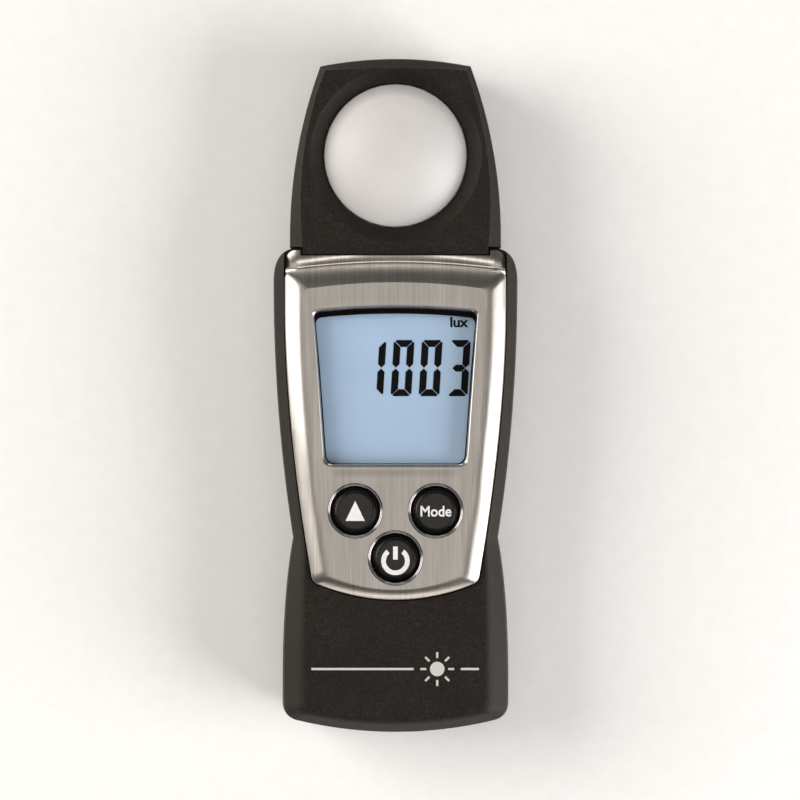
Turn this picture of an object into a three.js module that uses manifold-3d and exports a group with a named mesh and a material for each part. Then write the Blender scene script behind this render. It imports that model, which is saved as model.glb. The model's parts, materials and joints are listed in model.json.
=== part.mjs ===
// Handheld pocket light meter, in millimetres.
// The meter lies on its back: +Z points out of the display, +Y towards the sensor head, +X to the
// right of someone reading it. The origin is in the middle of the footprint, on the back face.
import * as THREE from "three";
import { mergeVertices } from "three/addons/utils/BufferGeometryUtils.js";
import Module from "manifold-3d";

const wasm = await Module();
wasm.setup();

// ---------------------------------------------------------------- driving dimensions
const LENGTH = 126.4; // bottom edge to the top of the sensor head
const WIDTH = 46.0; // across the shoulders
const DEPTH = 24.0; // back face to the rim of the display frame

const BOTTOM_Y = -LENGTH / 2;
const HEAD_TOP_Y = LENGTH / 2;
const SHOULDER_Y = 27.6; // top edge of the body, where the sensor head comes out
const WAIST_Y = -26.6; // narrowest place, with a crease on each side
const PARTING_Z = 11.0; // plane between the rear and the front mouldings
const PARTING_GAP = 0.15;
const WALL = 1.8; // moulded wall thickness
const GAP = 0.25; // assembly gap between neighbouring pieces

const FRONT_FACE_Z = DEPTH - 2.5; // black face below the metal bezel
const BEZEL_EDGE_Z = DEPTH - 1.8; // outer edge of the metal bezel
const BEZEL_FACE_Z = DEPTH - 0.4; // flat of the metal bezel around the keys
const BEZEL_SEAT_Z = 20.9; // underside of the bezel's rim
const DECK_Z = 19.6; // underside of the front moulding's deck, below the bezel

const HEAD_FACE_Z = 20.0; // flat front of the sensor head
const HEAD_BACK_Z = 3.0; // the head steps in from the back, so that a slip-on cover sits flush
const HEAD_LIP_Y = 26.5; // lower edge of the head's front face
const DOME_Y = 45.1; // centre of the light diffuser
const DOME_RADIUS = 13.35;
const DOME_RISE = 5.4;
const DOME_BASE_Z = 17.9;
const RECESS_RADIUS = 16.1; // outer edge of the cone around the diffuser

const KEY_RADIUS = 4.05;
const KEY_TOP_Z = 23.2;
const KEY_RING_RADIUS = 5.1;
const KEYS = {
  up: new THREE.Vector2(-7.5, -21.4),
  mode: new THREE.Vector2(7.5, -21.4),
  power: new THREE.Vector2(0, -30.2),
};

const BOARD_Z = [14.2, 15.4]; // main board, underside and top
const SENSOR_BOARD_Z = [12.2, 13.2];
const CELL_RADIUS = 5.2; // AAA cell
const CELL_LENGTH = 44.5;
const CELL_X = 5.35;
const CELL_Z = 7.4;
const TRAY = { halfWidth: 10.9, wall: 1.0, low: -57.6, high: -7.2, ceiling: 12.9 };
const COVER = { halfWidth: 12.0, tongue: 0.65, high: -4.6, back: 0.3, front: 1.9 };

const CASE_SCREWS = [
  new THREE.Vector2(-16.6, 20.6),
  new THREE.Vector2(16.6, 20.6),
  new THREE.Vector2(-15.6, -43.0),
  new THREE.Vector2(15.6, -43.0),
];
const SCREW_CORE = 1.3; // radius of the hole that a case screw cuts its thread in
const SCREW_SINK = 1.5; // depth of a case screw's head below the back face
const BOARD_SCREW = new THREE.Vector2(14.6, -17.5);
const SENSOR_POST = new THREE.Vector2(10.5, 9.5); // from the middle of the diffuser

const LABEL = { halfWidth: 13, low: 2, high: 18, sink: 0.3, back: 0.05, front: 0.2 };
const STRAP = { bend: 2.5, bore: 0.85, x: 20.2, y: -54.5, z: 1.0 }; // tunnel for a wrist cord
const COLLAR = { halfWidth: 20.55, start: 21, foot: 18.95, crest: 21.7, front: 27.25 };
const LCD = { halfWidth: 15.5, low: -13.6, high: 16.8, back: 19.5, front: 20.8 };

const REACH = 70; // past the object on every side, for blocks that cut
const CURVE_STEPS = 7; // straight steps in one curve of an outline
const ROUND_STEPS = 32; // sides of a large round piece
const SMALL_STEPS = 14; // sides of a small round piece

// ---------------------------------------------------------------- solids and booleans
// A closed manifold-3d solid of a geometry whose faces point out.
function solid(geometry) {
  const bare = new THREE.BufferGeometry();
  bare.setAttribute("position", geometry.getAttribute("position"));
  bare.setIndex(geometry.index);
  const merged = mergeVertices(bare, 1e-4);
  return new wasm.Manifold(
    new wasm.Mesh({
      numProp: 3,
      vertProperties: merged.attributes.position.array,
      triVerts: new Uint32Array(merged.index.array),
    }),
  );
}

function geometryOf(manifold) {
  const mesh = manifold.getMesh();
  const geometry = new THREE.BufferGeometry();
  geometry.setAttribute("position", new THREE.BufferAttribute(mesh.vertProperties, 3));
  geometry.setIndex(new THREE.BufferAttribute(mesh.triVerts, 1));
  geometry.computeVertexNormals();
  return geometry;
}

// A block from its lowest to its highest corner.
function block([x0, y0, z0], [x1, y1, z1]) {
  const geometry = new THREE.BoxGeometry(x1 - x0, y1 - y0, z1 - z0);
  geometry.translate((x0 + x1) / 2, (y0 + y1) / 2, (z0 + z1) / 2);
  return solid(geometry);
}

// A cylinder standing along Z.
function post(x, y, radius, z0, z1, steps = SMALL_STEPS) {
  const geometry = new THREE.CylinderGeometry(radius, radius, z1 - z0, steps);
  geometry.rotateX(Math.PI / 2);
  geometry.translate(x, y, (z0 + z1) / 2);
  return solid(geometry);
}

// A profile of [radius, height] corners turned about the Z axis.
function turned(profile, steps = ROUND_STEPS) {
  const geometry = new THREE.LatheGeometry(
    profile.map(([r, h]) => new THREE.Vector2(r, h)),
    steps,
  );
  geometry.rotateX(Math.PI / 2);
  return solid(geometry);
}

// The solid between outlines of equal point counts, each at its own height: [[z, outline], ...].
// Each end is a fan of triangles about its middle.
function stack(levels) {
  const count = levels[0][1].length;
  const position = [];
  const index = [];
  for (const [z, outline] of levels) {
    for (const p of outline) position.push(p.x, p.y, z);
  }
  for (const [z, outline] of [levels[0], levels.at(-1)]) {
    const box = new THREE.Box2().setFromPoints(outline);
    position.push((box.min.x + box.max.x) / 2, (box.min.y + box.max.y) / 2, z);
  }
  const last = (levels.length - 1) * count;
  const middle = levels.length * count;
  for (let i = 0; i < count; i++) {
    const next = (i + 1) % count;
    index.push(middle, next, i, middle + 1, last + i, last + next);
    for (let start = 0; start < last; start += count) {
      const [a, b] = [start + i, start + next];
      index.push(a, b, b + count, a, b + count, a + count);
    }
  }
  const geometry = new THREE.BufferGeometry();
  geometry.setAttribute("position", new THREE.Float32BufferAttribute(position, 3));
  geometry.setIndex(index);
  return solid(geometry);
}

const prism = (outline, z0, z1) => stack([
  [z0, outline],
  [z1, outline],
]);

// A side profile, drawn in Y and Z, swept across the middle by a width along X.
function sweptAcross(shape, width) {
  const geometry = new THREE.ExtrudeGeometry(shape, { depth: width, bevelEnabled: false });
  geometry.applyMatrix4(new THREE.Matrix4().makeBasis(
    new THREE.Vector3(0, 1, 0),
    new THREE.Vector3(0, 0, 1),
    new THREE.Vector3(1, 0, 0),
  ));
  geometry.translate(-width / 2, 0, 0);
  return solid(geometry);
}

// ---------------------------------------------------------------- outlines
// The right-hand half of an outline, from bottom centre to top centre, and its mirror image.
function mirrored(path, steps = CURVE_STEPS) {
  const right = path.getPoints(steps);
  const left = right.slice(1, -1).reverse();
  return [...right, ...left.map((p) => new THREE.Vector2(-p.x, p.y))];
}

// An outline part of the way from a to b.
const between = (a, b, share) => a.map((p, i) => p.clone().lerp(b[i], share));

// The body in plan: a bowed bottom edge, a waist with a crease, and round shoulders.
function bodyOutline({ low, waist, high, bottom, top, corner, shoulder }) {
  const bow = 78; // radius of the bottom edge
  const end = low - corner;
  const rise = (end * end) / (2 * bow);
  const path = new THREE.Path();
  path.moveTo(0, bottom);
  path.quadraticCurveTo(end / 2, bottom, end, bottom + rise);
  path.quadraticCurveTo(low, bottom + rise + 0.24 * corner, low, bottom + rise + 1.25 * corner);
  path.lineTo(low, -52);
  path.quadraticCurveTo(low - 0.1, -36.5, waist, WAIST_Y);
  path.quadraticCurveTo(high, -3, high, top - shoulder * 1.8);
  path.quadraticCurveTo(high, top - 0.7, high - shoulder, top);
  path.lineTo(0, top);
  return mirrored(path);
}

// The sensor head in plan: sides that close in towards a bowed top edge.
function headOutline({ base, foot, bulge, corner, cornerY, top }) {
  const path = new THREE.Path();
  path.moveTo(0, base);
  path.lineTo(foot, base);
  path.lineTo(foot, 29);
  path.quadraticCurveTo(bulge, 46, corner, cornerY);
  path.quadraticCurveTo(corner / 2, top, 0, top);
  return mirrored(path);
}

// The metal bezel in plan: bowed top and bottom edges, sides that close in towards the keys.
function bezelOutline({ bottom, bottomEnd, lowCorner, sideBulge, high, topEnd, top }) {
  const path = new THREE.Path();
  path.moveTo(0, bottom);
  path.quadraticCurveTo(bottomEnd.x / 2, bottom, bottomEnd.x, bottomEnd.y);
  path.quadraticCurveTo(lowCorner.x - 0.15, bottomEnd.y + 0.45, lowCorner.x, lowCorner.y);
  path.quadraticCurveTo(sideBulge, -5, high, 16);
  path.lineTo(high, topEnd.y - 1.5);
  path.quadraticCurveTo(high, topEnd.y - 0.35, topEnd.x, topEnd.y);
  path.quadraticCurveTo(topEnd.x / 2, top, 0, top);
  return mirrored(path);
}

// The display opening in plan, grown by a margin on every side, with its top edge lowered.
function windowOutline(grow, lowered = 0, steps = CURVE_STEPS) {
  const [low, high] = [13.3 + grow, 15.2 + grow];
  const [bottom, top] = [-12.8 - grow, 16.6 + grow - lowered];
  const path = new THREE.Path();
  path.moveTo(0, bottom);
  path.lineTo(low - 1.7, bottom);
  path.quadraticCurveTo(low - 0.1, bottom, low, bottom + 1.7);
  path.lineTo(high, top - 2.1);
  path.quadraticCurveTo(high + 0.1, top - 0.85, high - 1.2, top - 0.7);
  path.quadraticCurveTo(high / 2, top, 0, top);
  return mirrored(path, steps);
}

const SILHOUETTE = bodyOutline({
  low: 21.3,
  waist: 19.3,
  high: WIDTH / 2,
  bottom: BOTTOM_Y,
  top: SHOULDER_Y,
  corner: 2.8,
  shoulder: 3.4,
});
const FRONT_FACE = bodyOutline({
  low: 17.6,
  waist: 17.35,
  high: 20.4,
  bottom: BOTTOM_Y + 2.2,
  top: SHOULDER_Y - 0.3,
  corner: 1.2,
  shoulder: 1.6,
});
const BACK_FACE = bodyOutline({
  low: 18.5,
  waist: 16.5,
  high: 20.2,
  bottom: BOTTOM_Y + 2.8,
  top: SHOULDER_Y - 2.4,
  corner: 2.2,
  shoulder: 2.6,
});
const HEAD_SILHOUETTE = headOutline({
  base: 20,
  foot: 19.8,
  bulge: 19.9,
  corner: 14.1,
  cornerY: 61.8,
  top: HEAD_TOP_Y,
});
const HEAD_FACE = headOutline({
  base: 20,
  foot: 17.5,
  bulge: 19.0,
  corner: 13.2,
  cornerY: 60.9,
  top: HEAD_TOP_Y - 1.8,
});
const BEZEL_EDGE = bezelOutline({
  bottom: -38.1,
  bottomEnd: new THREE.Vector2(14.3, -35.3),
  lowCorner: new THREE.Vector2(15.8, -33.2),
  sideBulge: 20.5,
  high: 20.65,
  topEnd: new THREE.Vector2(19.4, 23.35),
  top: 24.6,
});
const BEZEL_RIDGE = bezelOutline({
  bottom: -36.3,
  bottomEnd: new THREE.Vector2(12.3, -33.8),
  lowCorner: new THREE.Vector2(13.3, -32.1),
  sideBulge: 17.9,
  high: 18.0,
  topEnd: new THREE.Vector2(17.0, 20.4),
  top: 21.6,
});

// An outline moved inwards by a distance along its own normals.
function inset(outline, distance) {
  const count = outline.length;
  return outline.map((p, i) => {
    const before = outline[(i + count - 1) % count];
    const after = outline[(i + 1) % count];
    const along = after.clone().sub(before).normalize();
    return new THREE.Vector2(p.x - along.y * distance, p.y + along.x * distance);
  });
}

// ---------------------------------------------------------------- materials
const material = (color, roughness, metalness = 0) =>
  new THREE.MeshStandardMaterial({ color, roughness, metalness });

const MATERIALS = {
  blackPlastic: material(0x2b2826, 0.62),
  satinNickel: material(0xa39c95, 0.32, 0.9),
  darkChrome: material(0x38363a, 0.12, 0.9),
  opal: material(0xe6e4e4, 0.4),
  clear: material(0xdfe8ee, 0.08),
  displayBlue: material(0x9db6cf, 0.35),
  whitePlastic: material(0xe8e8e4, 0.5),
  rubber: material(0x3b3a3a, 0.8),
  board: material(0x1f5a3a, 0.5),
  chip: material(0x1b1b1d, 0.5),
  filterGlass: material(0x7fb08a, 0.1),
  ribbon: material(0xb08a3c, 0.5),
  cell: material(0x6f7479, 0.35, 0.3),
  contact: material(0xc0bfba, 0.3, 0.9),
  screw: material(0x8d8f92, 0.35, 0.9),
  label: material(0xb9bab8, 0.5),
};

function part(name, shape, finish, x = 0, y = 0, z = 0) {
  const mesh = new THREE.Mesh(geometryOf(shape), finish);
  mesh.name = name;
  mesh.position.set(x, y, z);
  return mesh;
}

// ---------------------------------------------------------------- housing
const bodyFront = stack([
  [PARTING_Z + PARTING_GAP, SILHOUETTE],
  [16.4, between(SILHOUETTE, FRONT_FACE, 0.02)],
  [18.2, between(SILHOUETTE, FRONT_FACE, 0.12)],
  [FRONT_FACE_Z, FRONT_FACE],
]);
const bodyRear = stack([
  [0, BACK_FACE],
  [0.9, between(SILHOUETTE, BACK_FACE, 0.62)],
  [2.6, between(SILHOUETTE, BACK_FACE, 0.26)],
  [5.5, between(SILHOUETTE, BACK_FACE, 0.04)],
  [PARTING_Z, SILHOUETTE],
]);
const headFront = stack([
  [PARTING_Z + PARTING_GAP, HEAD_SILHOUETTE],
  [17.8, HEAD_SILHOUETTE],
  [19.0, between(HEAD_SILHOUETTE, HEAD_FACE, 0.5)],
  [HEAD_FACE_Z, HEAD_FACE],
]);
const headRear = stack([
  [HEAD_BACK_Z, between(HEAD_SILHOUETTE, HEAD_FACE, 0.9)],
  [HEAD_BACK_Z + 1.8, HEAD_SILHOUETTE],
  [PARTING_Z, HEAD_SILHOUETTE],
]);

// The spaces inside the mouldings.
const rearCavity = () => prism(inset(between(SILHOUETTE, BACK_FACE, 0.3), WALL), 2.4, PARTING_Z + 1);
const frontCavity = () => stack([
  [PARTING_Z, inset(SILHOUETTE, WALL)],
  [15.4, inset(SILHOUETTE, WALL)],
  [DECK_Z, inset(between(SILHOUETTE, FRONT_FACE, 0.62), WALL - 0.3)],
]);
const headCavity = (z0, z1) => prism(inset(HEAD_FACE, 0.6), z0, z1);
const neckPassage = block([-14, 20, 5], [14, 33, 18]);

// A tube for a screw that comes in from the back.
function frontBoss({ x, y }) {
  return post(x, y, 2.7, PARTING_Z + PARTING_GAP, DECK_Z + 0.2)
    .subtract(post(x, y, SCREW_CORE, PARTING_Z, 17.5));
}

function frontShell() {
  const neckSlot = block([-17.7, 22.2, PARTING_Z], [17.7, REACH, DEPTH]);
  const bezelSeat = prism(inset(BEZEL_EDGE, -GAP), BEZEL_SEAT_Z - GAP, DEPTH);
  const collarSeat = block([-20.85, 20, 18.7], [20.85, 27.6, DEPTH]);
  const displayHole = block([-16, -14.4, DECK_Z - 1], [16, 17.6, DEPTH]);
  let shell = bodyFront.subtract(frontCavity());
  for (const screw of CASE_SCREWS) shell = shell.add(frontBoss(screw));
  shell = shell.subtract(bezelSeat).subtract(collarSeat);
  shell = shell.subtract(neckSlot).subtract(displayHole);
  for (const key of Object.values(KEYS)) {
    shell = shell.subtract(post(key.x, key.y, KEY_RADIUS + 0.3, DECK_Z - 1, DEPTH, ROUND_STEPS));
  }
  return shell;
}

// The cover's way out of the back, with a groove on each side for its tongues.
function coverChannel() {
  const { halfWidth, tongue, high, front } = COVER;
  const grow = 0.2;
  const slot = block([-halfWidth - grow, -REACH, -1], [halfWidth + grow, high + grow, front + GAP]);
  const side = halfWidth + tongue + grow;
  return slot.add(block([-side, -REACH, 0.9], [side, high + grow, 1.75]));
}

// The walls around the cells, open towards the back.
function batteryTray() {
  const { halfWidth, wall, low, high, ceiling } = TRAY;
  const outer = block([-halfWidth - wall, low - 1.2, 1], [halfWidth + wall, high + 1.2, ceiling + 0.9]);
  const inner = block([-halfWidth, low, -1], [halfWidth, high, ceiling]);
  return { outer, inner };
}

// A curved tunnel across the rear corner, for a wrist strap's loop.
function strapTunnel() {
  const geometry = new THREE.TorusGeometry(STRAP.bend, STRAP.bore, 8, 24);
  geometry.rotateX(Math.PI / 2);
  geometry.translate(STRAP.x, STRAP.y, STRAP.z);
  return solid(geometry);
}

function rearShell() {
  const tray = batteryTray();
  const strapBlock = block([14.5, STRAP.y - 5, 1.5], [20.6, STRAP.y + 4, 6.5]).intersect(bodyRear);
  let shell = bodyRear.add(headRear);
  shell = shell.subtract(rearCavity());
  shell = shell.subtract(headCavity(HEAD_BACK_Z + WALL, PARTING_Z + 1));
  shell = shell.subtract(neckPassage);
  shell = shell.add(tray.outer).add(strapBlock);
  for (const { x, y } of CASE_SCREWS) shell = shell.add(post(x, y, 2.9, 1.5, PARTING_Z));
  for (const side of [-1, 1]) {
    shell = shell.add(post(side * BOARD_SCREW.x, BOARD_SCREW.y, 1.9, 2, BOARD_Z[0] - 0.1));
    for (const end of [-1, 1]) {
      const [x, y] = [side * SENSOR_POST.x, DOME_Y + end * SENSOR_POST.y];
      shell = shell.add(post(x, y, 1.8, 4, SENSOR_BOARD_Z[0] - 0.1));
    }
  }
  shell = shell.subtract(tray.inner).subtract(coverChannel()).subtract(strapTunnel());
  for (const { x, y } of CASE_SCREWS) {
    shell = shell.subtract(post(x, y, 2.2, -1, 3.2)).subtract(post(x, y, SCREW_CORE, -1, 12));
  }
  for (const side of [-1, 1]) {
    shell = shell.subtract(post(side * BOARD_SCREW.x, BOARD_SCREW.y, 1.05, 8, 16));
    const [x, y] = [side * SENSOR_POST.x, DOME_Y + side * SENSOR_POST.y];
    shell = shell.subtract(post(x, y, 0.9, 7.5, 14));
  }
  const { halfWidth, low, high, sink } = LABEL;
  const grow = 0.2;
  return shell.subtract(block([-halfWidth - grow, low - grow, -1], [halfWidth + grow, high + grow, sink]));
}

function sensorHeadCover() {
  const wholeFront = headFront.intersect(block([-REACH, SHOULDER_Y + 0.3, 0], [REACH, REACH, REACH]));
  const lip = headFront.intersect(block([-17.4, HEAD_LIP_Y, PARTING_Z + PARTING_GAP], [17.4, 29, REACH]));
  const neck = block([-16.5, 22.6, PARTING_Z + PARTING_GAP], [16.5, 29, 18.4]);
  const cone = turned([
    [DOME_RADIUS + 0.25, DOME_BASE_Z],
    [DOME_RADIUS + 0.25, 16.9],
    [15.6, 16.9],
    [17.3, 18.4],
    [17.3, HEAD_FACE_Z],
    [RECESS_RADIUS, HEAD_FACE_Z],
    [DOME_RADIUS + 0.25, DOME_BASE_Z],
  ]).translate([0, DOME_Y, 0]);
  let cover = wholeFront.add(lip).add(neck);
  const hollow = headCavity(PARTING_Z, 18.2).intersect(block([-REACH, 24.4, 0], [REACH, REACH, REACH]));
  cover = cover.subtract(hollow);
  cover = cover.subtract(block([-14.5, 22, PARTING_Z], [14.5, 30, 17.0]));
  cover = cover.subtract(post(0, DOME_Y, 16.9, 15, REACH, ROUND_STEPS));
  return cover.add(cone.intersect(headFront));
}

// The battery cover, with a tongue along each side and grip ribs sunk into its back.
function batteryCover() {
  const { halfWidth, tongue, high, back, front } = COVER;
  const trim = bodyRear.translate([0, 0.05, 0]);
  const plate = block([-halfWidth, -REACH, back], [halfWidth, high, front]);
  const tongues = block([-halfWidth - tongue, -56, 1.05], [halfWidth + tongue, high, 1.6]);
  let cover = plate.add(tongues).intersect(trim);
  for (let rib = 0; rib < 6; rib++) {
    const y = -10.5 - rib * 1.6;
    cover = cover.subtract(block([-6, y, back - 1], [6, y + 0.8, back + 0.45]));
  }
  return cover;
}

const ratingLabel = () => block(
  [-LABEL.halfWidth, LABEL.low, LABEL.back],
  [LABEL.halfWidth, LABEL.high, LABEL.front],
);

// ---------------------------------------------------------------- bezel and display
// The metal collar that meets the sensor head, with an ear on each side of it.
function bezelCollar() {
  const { halfWidth, start, foot, crest, front } = COLLAR;
  const path = new THREE.Path();
  path.moveTo(0, start);
  path.lineTo(halfWidth, start);
  path.lineTo(halfWidth, 25.0);
  path.quadraticCurveTo(halfWidth, 26.8, halfWidth - 1.35, front);
  path.lineTo(0, front);
  const headGap = block([-17.75, 24, 18], [17.75, REACH, REACH]);
  const ears = prism(mirrored(path), foot, 21.3).subtract(headGap);
  const slope = new THREE.Shape([
    new THREE.Vector2(start, foot),
    new THREE.Vector2(HEAD_LIP_Y - GAP, foot),
    new THREE.Vector2(HEAD_LIP_Y - GAP, foot + 0.45),
    new THREE.Vector2(24.5, crest),
    new THREE.Vector2(start, crest),
  ]);
  const hollow = block([-18.5, 20, 18], [18.5, 23.2, REACH]);
  return ears.add(sweptAcross(slope, 36)).subtract(hollow);
}

function bezelPlate() {
  let plate = stack([
    [BEZEL_SEAT_Z, BEZEL_EDGE],
    [BEZEL_EDGE_Z, BEZEL_EDGE],
    [BEZEL_EDGE_Z + 0.85, between(BEZEL_EDGE, BEZEL_RIDGE, 0.5)],
    [BEZEL_FACE_Z, BEZEL_RIDGE],
  ]);
  plate = plate.add(stack([
    [BEZEL_FACE_Z - 0.3, windowOutline(2.5)],
    [BEZEL_FACE_Z, windowOutline(2.3)],
    [DEPTH, windowOutline(1.3)],
  ]));
  plate = plate.add(bezelCollar());
  plate = plate.subtract(prism(inset(BEZEL_EDGE, 1.5), 18, 22.45));
  plate = plate.subtract(stack([
    [18, windowOutline(-0.15, 1.0)],
    [22.5, windowOutline(-0.15, 1.0)],
    [DEPTH + 0.1, windowOutline(0)],
  ]));
  for (const key of Object.values(KEYS)) {
    plate = plate.subtract(post(key.x, key.y, KEY_RING_RADIUS + 0.1, 18, REACH, ROUND_STEPS));
  }
  return plate;
}

const displayWindow = () => prism(windowOutline(1.5, 0, 3), 21.0, 22.2);

const lcdCell = () => block(
  [-LCD.halfWidth, LCD.low, LCD.back],
  [LCD.halfWidth, LCD.high, LCD.front],
);
const lcdLightGuide = () => block([-LCD.halfWidth, -11.7, 16.4], [LCD.halfWidth, 15.9, LCD.back - 0.3]);

function lcdFrame() {
  const outer = block([-16.8, -15.2, 16.3], [16.8, 17.2, 19.3]);
  return outer.subtract(block([-15.7, -11.9, 15], [15.7, 16.1, 20]))
    .subtract(block([-14.5, -14.6, 15], [14.5, -12.5, 20]));
}

// ---------------------------------------------------------------- keys
function keyCap() {
  return turned([
    [0, 16.7],
    [1.6, 16.7],
    [1.6, 18.0],
    [4.9, 18.0],
    [4.9, 19.2],
    [KEY_RADIUS, 19.2],
    [KEY_RADIUS, KEY_TOP_Z - 0.4],
    [KEY_RADIUS - 0.4, KEY_TOP_Z],
    [0, KEY_TOP_Z - 0.1],
  ]);
}

function keyRing() {
  return turned([
    [KEY_RADIUS + 0.2, BEZEL_SEAT_Z],
    [KEY_RING_RADIUS, BEZEL_SEAT_Z],
    [KEY_RING_RADIUS, 23.7],
    [KEY_RING_RADIUS - 0.3, DEPTH],
    [KEY_RING_RADIUS - 0.45, DEPTH],
    [KEY_RADIUS + 0.2, 22.9],
    [KEY_RADIUS + 0.2, BEZEL_SEAT_Z],
  ]);
}

const snapDome = () => turned([
  [0, 15.5],
  [2.0, 15.5],
  [1.5, 15.82],
  [0, 16.0],
], SMALL_STEPS);

function keypadMat() {
  const outline = new THREE.Path();
  outline.moveTo(0, -36.2);
  outline.lineTo(5.5, -36.2);
  outline.lineTo(13.2, -27.2);
  outline.lineTo(13.2, -16.2);
  outline.lineTo(0, -16.2);
  let mat = prism(mirrored(outline), 15.55, 16.35);
  for (const { x, y } of Object.values(KEYS)) {
    mat = mat.add(post(x, y, 4.2, 16.0, 17.2)).subtract(post(x, y, 2.3, 15, 18));
  }
  return mat.subtract(post(-BOARD_SCREW.x, BOARD_SCREW.y, 2.3, 15, 17))
    .subtract(post(BOARD_SCREW.x, BOARD_SCREW.y, 2.3, 15, 17));
}

// ---------------------------------------------------------------- electronics
function mainBoard() {
  const outline = new THREE.Path();
  outline.moveTo(0, -37);
  outline.lineTo(11, -37);
  outline.lineTo(16.2, -24);
  outline.lineTo(16.6, 16.4);
  outline.lineTo(13.0, 17.4);
  outline.lineTo(13.0, 24.2);
  outline.lineTo(0, 24.2);
  let board = prism(mirrored(outline), ...BOARD_Z);
  for (const side of [-1, 1]) {
    board = board.subtract(post(side * BOARD_SCREW.x, BOARD_SCREW.y, 1.3, 13, 17));
  }
  return board;
}

// A flat flexible cable that steps down from the main board to the sensor board.
function sensorRibbon() {
  const thickness = 0.3;
  const line = new THREE.CatmullRomCurve3([
    new THREE.Vector3(0, 20.4, 15.65),
    new THREE.Vector3(0, 25.6, 15.65),
    new THREE.Vector3(0, 28.6, 15.0),
    new THREE.Vector3(0, 31.4, 13.6),
    new THREE.Vector3(0, 37.2, 13.45),
  ]);
  const centre = line.getPoints(14);
  const upper = centre.map((p) => new THREE.Vector2(p.y, p.z + thickness / 2));
  const lower = centre.map((p) => new THREE.Vector2(p.y, p.z - thickness / 2));
  const shape = new THREE.Shape([...lower, ...upper.reverse()]);
  return sweptAcross(shape, 8);
}

// ---------------------------------------------------------------- sensor
function diffuserDome() {
  const sphere = (DOME_RADIUS ** 2 + DOME_RISE ** 2) / (2 * DOME_RISE);
  const top = DOME_BASE_Z + DOME_RISE;
  const steps = 6;
  const arc = (radius, drop) => Array.from({ length: steps + 1 }, (_, i) => {
    const r = (radius * (steps - i)) / steps;
    return [r, top - drop - sphere + Math.sqrt(sphere ** 2 - r ** 2)];
  });
  return turned([
    ...arc(DOME_RADIUS - 1.4, 1.5).reverse(),
    [DOME_RADIUS - 1.4, 15.2],
    [15.0, 15.2],
    [15.0, 16.1],
    [DOME_RADIUS, 16.1],
    ...arc(DOME_RADIUS, 0),
  ]);
}

// A foam ring squeezed between the diffuser's flange and the head cover.
const domeGasket = () => turned([
  [DOME_RADIUS + 0.2, 16.15],
  [15.0, 16.15],
  [15.0, 16.85],
  [DOME_RADIUS + 0.2, 16.85],
  [DOME_RADIUS + 0.2, 16.15],
]);

const sensorCarrier = () => turned([
  [3.9, 13.4],
  [7.0, 13.4],
  [7.0, 16.9],
  [5.0, 16.9],
  [5.0, 15.1],
  [3.9, 15.1],
  [3.9, 13.4],
]);

function sensorBoard() {
  let board = block([-12.5, -12, SENSOR_BOARD_Z[0]], [12.5, 12, SENSOR_BOARD_Z[1]]);
  for (const side of [-1, 1]) {
    board = board.subtract(post(side * SENSOR_POST.x, side * SENSOR_POST.y, 1.0, 11, 14));
  }
  return board;
}

// ---------------------------------------------------------------- power
const cell = () => turned([
  [0, 0],
  [CELL_RADIUS - 0.4, 0],
  [CELL_RADIUS, 0.4],
  [CELL_RADIUS, CELL_LENGTH - 1.2],
  [CELL_RADIUS - 0.5, CELL_LENGTH - 0.8],
  [1.9, CELL_LENGTH - 0.8],
  [1.9, CELL_LENGTH],
  [0, CELL_LENGTH],
], 32).rotate([-90, 0, 0]);

class Coil extends THREE.Curve {
  constructor(wide, narrow, height, turns) {
    super();
    Object.assign(this, { wide, narrow, height, turns });
  }
  getPoint(t, target = new THREE.Vector3()) {
    const angle = t * this.turns * 2 * Math.PI;
    const radius = THREE.MathUtils.lerp(this.wide, this.narrow, t);
    return target.set(radius * Math.cos(angle), t * this.height, radius * Math.sin(angle));
  }
}

// A plate of sheet metal that stands across the end of a cell, facing up the compartment.
const contactPlate = (x0, x1) => block([x0, 0, CELL_Z - 4.2], [x1, 0.4, CELL_Z + 4.2]);

// A coil that narrows away from its plate.
function contactSpring(x, height) {
  const turns = 3;
  const wire = new THREE.Shape().absarc(0, 0, 0.3, 0, 2 * Math.PI);
  const path = new Coil(3.6, 1.8, height, turns);
  const geometry = new THREE.ExtrudeGeometry(wire, {
    steps: turns * 14,
    curveSegments: 3,
    bevelEnabled: false,
    extrudePath: path,
  });
  geometry.translate(x, 0.35, CELL_Z);
  return solid(geometry);
}

const contactBump = (x) => solid(
  new THREE.CylinderGeometry(1.6, 2.2, 0.7, SMALL_STEPS).translate(x, 0.6, CELL_Z),
);

// Bottom end: one piece joins the two cells in series, with a coil for the left-hand cell.
const bridgeContact = () => contactPlate(-9.6, 9.6)
  .add(contactSpring(-CELL_X, 3.6))
  .add(contactBump(CELL_X));
const negativeTerminal = () => contactPlate(CELL_X - 4.2, CELL_X + 4.2)
  .add(contactSpring(CELL_X, 3.6))
  .rotate([180, 0, 0])
  .translate([0, 0, 2 * CELL_Z]);
const positiveTerminal = () => contactPlate(-CELL_X - 4.2, -CELL_X + 4.2)
  .add(contactBump(-CELL_X))
  .rotate([180, 0, 0])
  .translate([0, 0, 2 * CELL_Z]);

// ---------------------------------------------------------------- fasteners
// A pan-head screw, head at the bottom, with a cross recess.
function screw(headRadius, shankRadius, length) {
  const body = turned([
    [0, 0],
    [headRadius - 0.3, 0],
    [headRadius, 0.3],
    [headRadius, 1.5],
    [shankRadius, 1.5],
    [shankRadius, 1.5 + length - 0.8],
    [0, 1.5 + length],
  ], SMALL_STEPS);
  const arm = headRadius * 0.62;
  const cross = block([-arm, -0.25, -1], [arm, 0.25, 0.9])
    .add(block([-0.25, -arm, -1], [0.25, arm, 0.9]));
  return body.subtract(cross);
}

// ---------------------------------------------------------------- assembly
const meter = new THREE.Group();
const M = MATERIALS;

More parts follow.
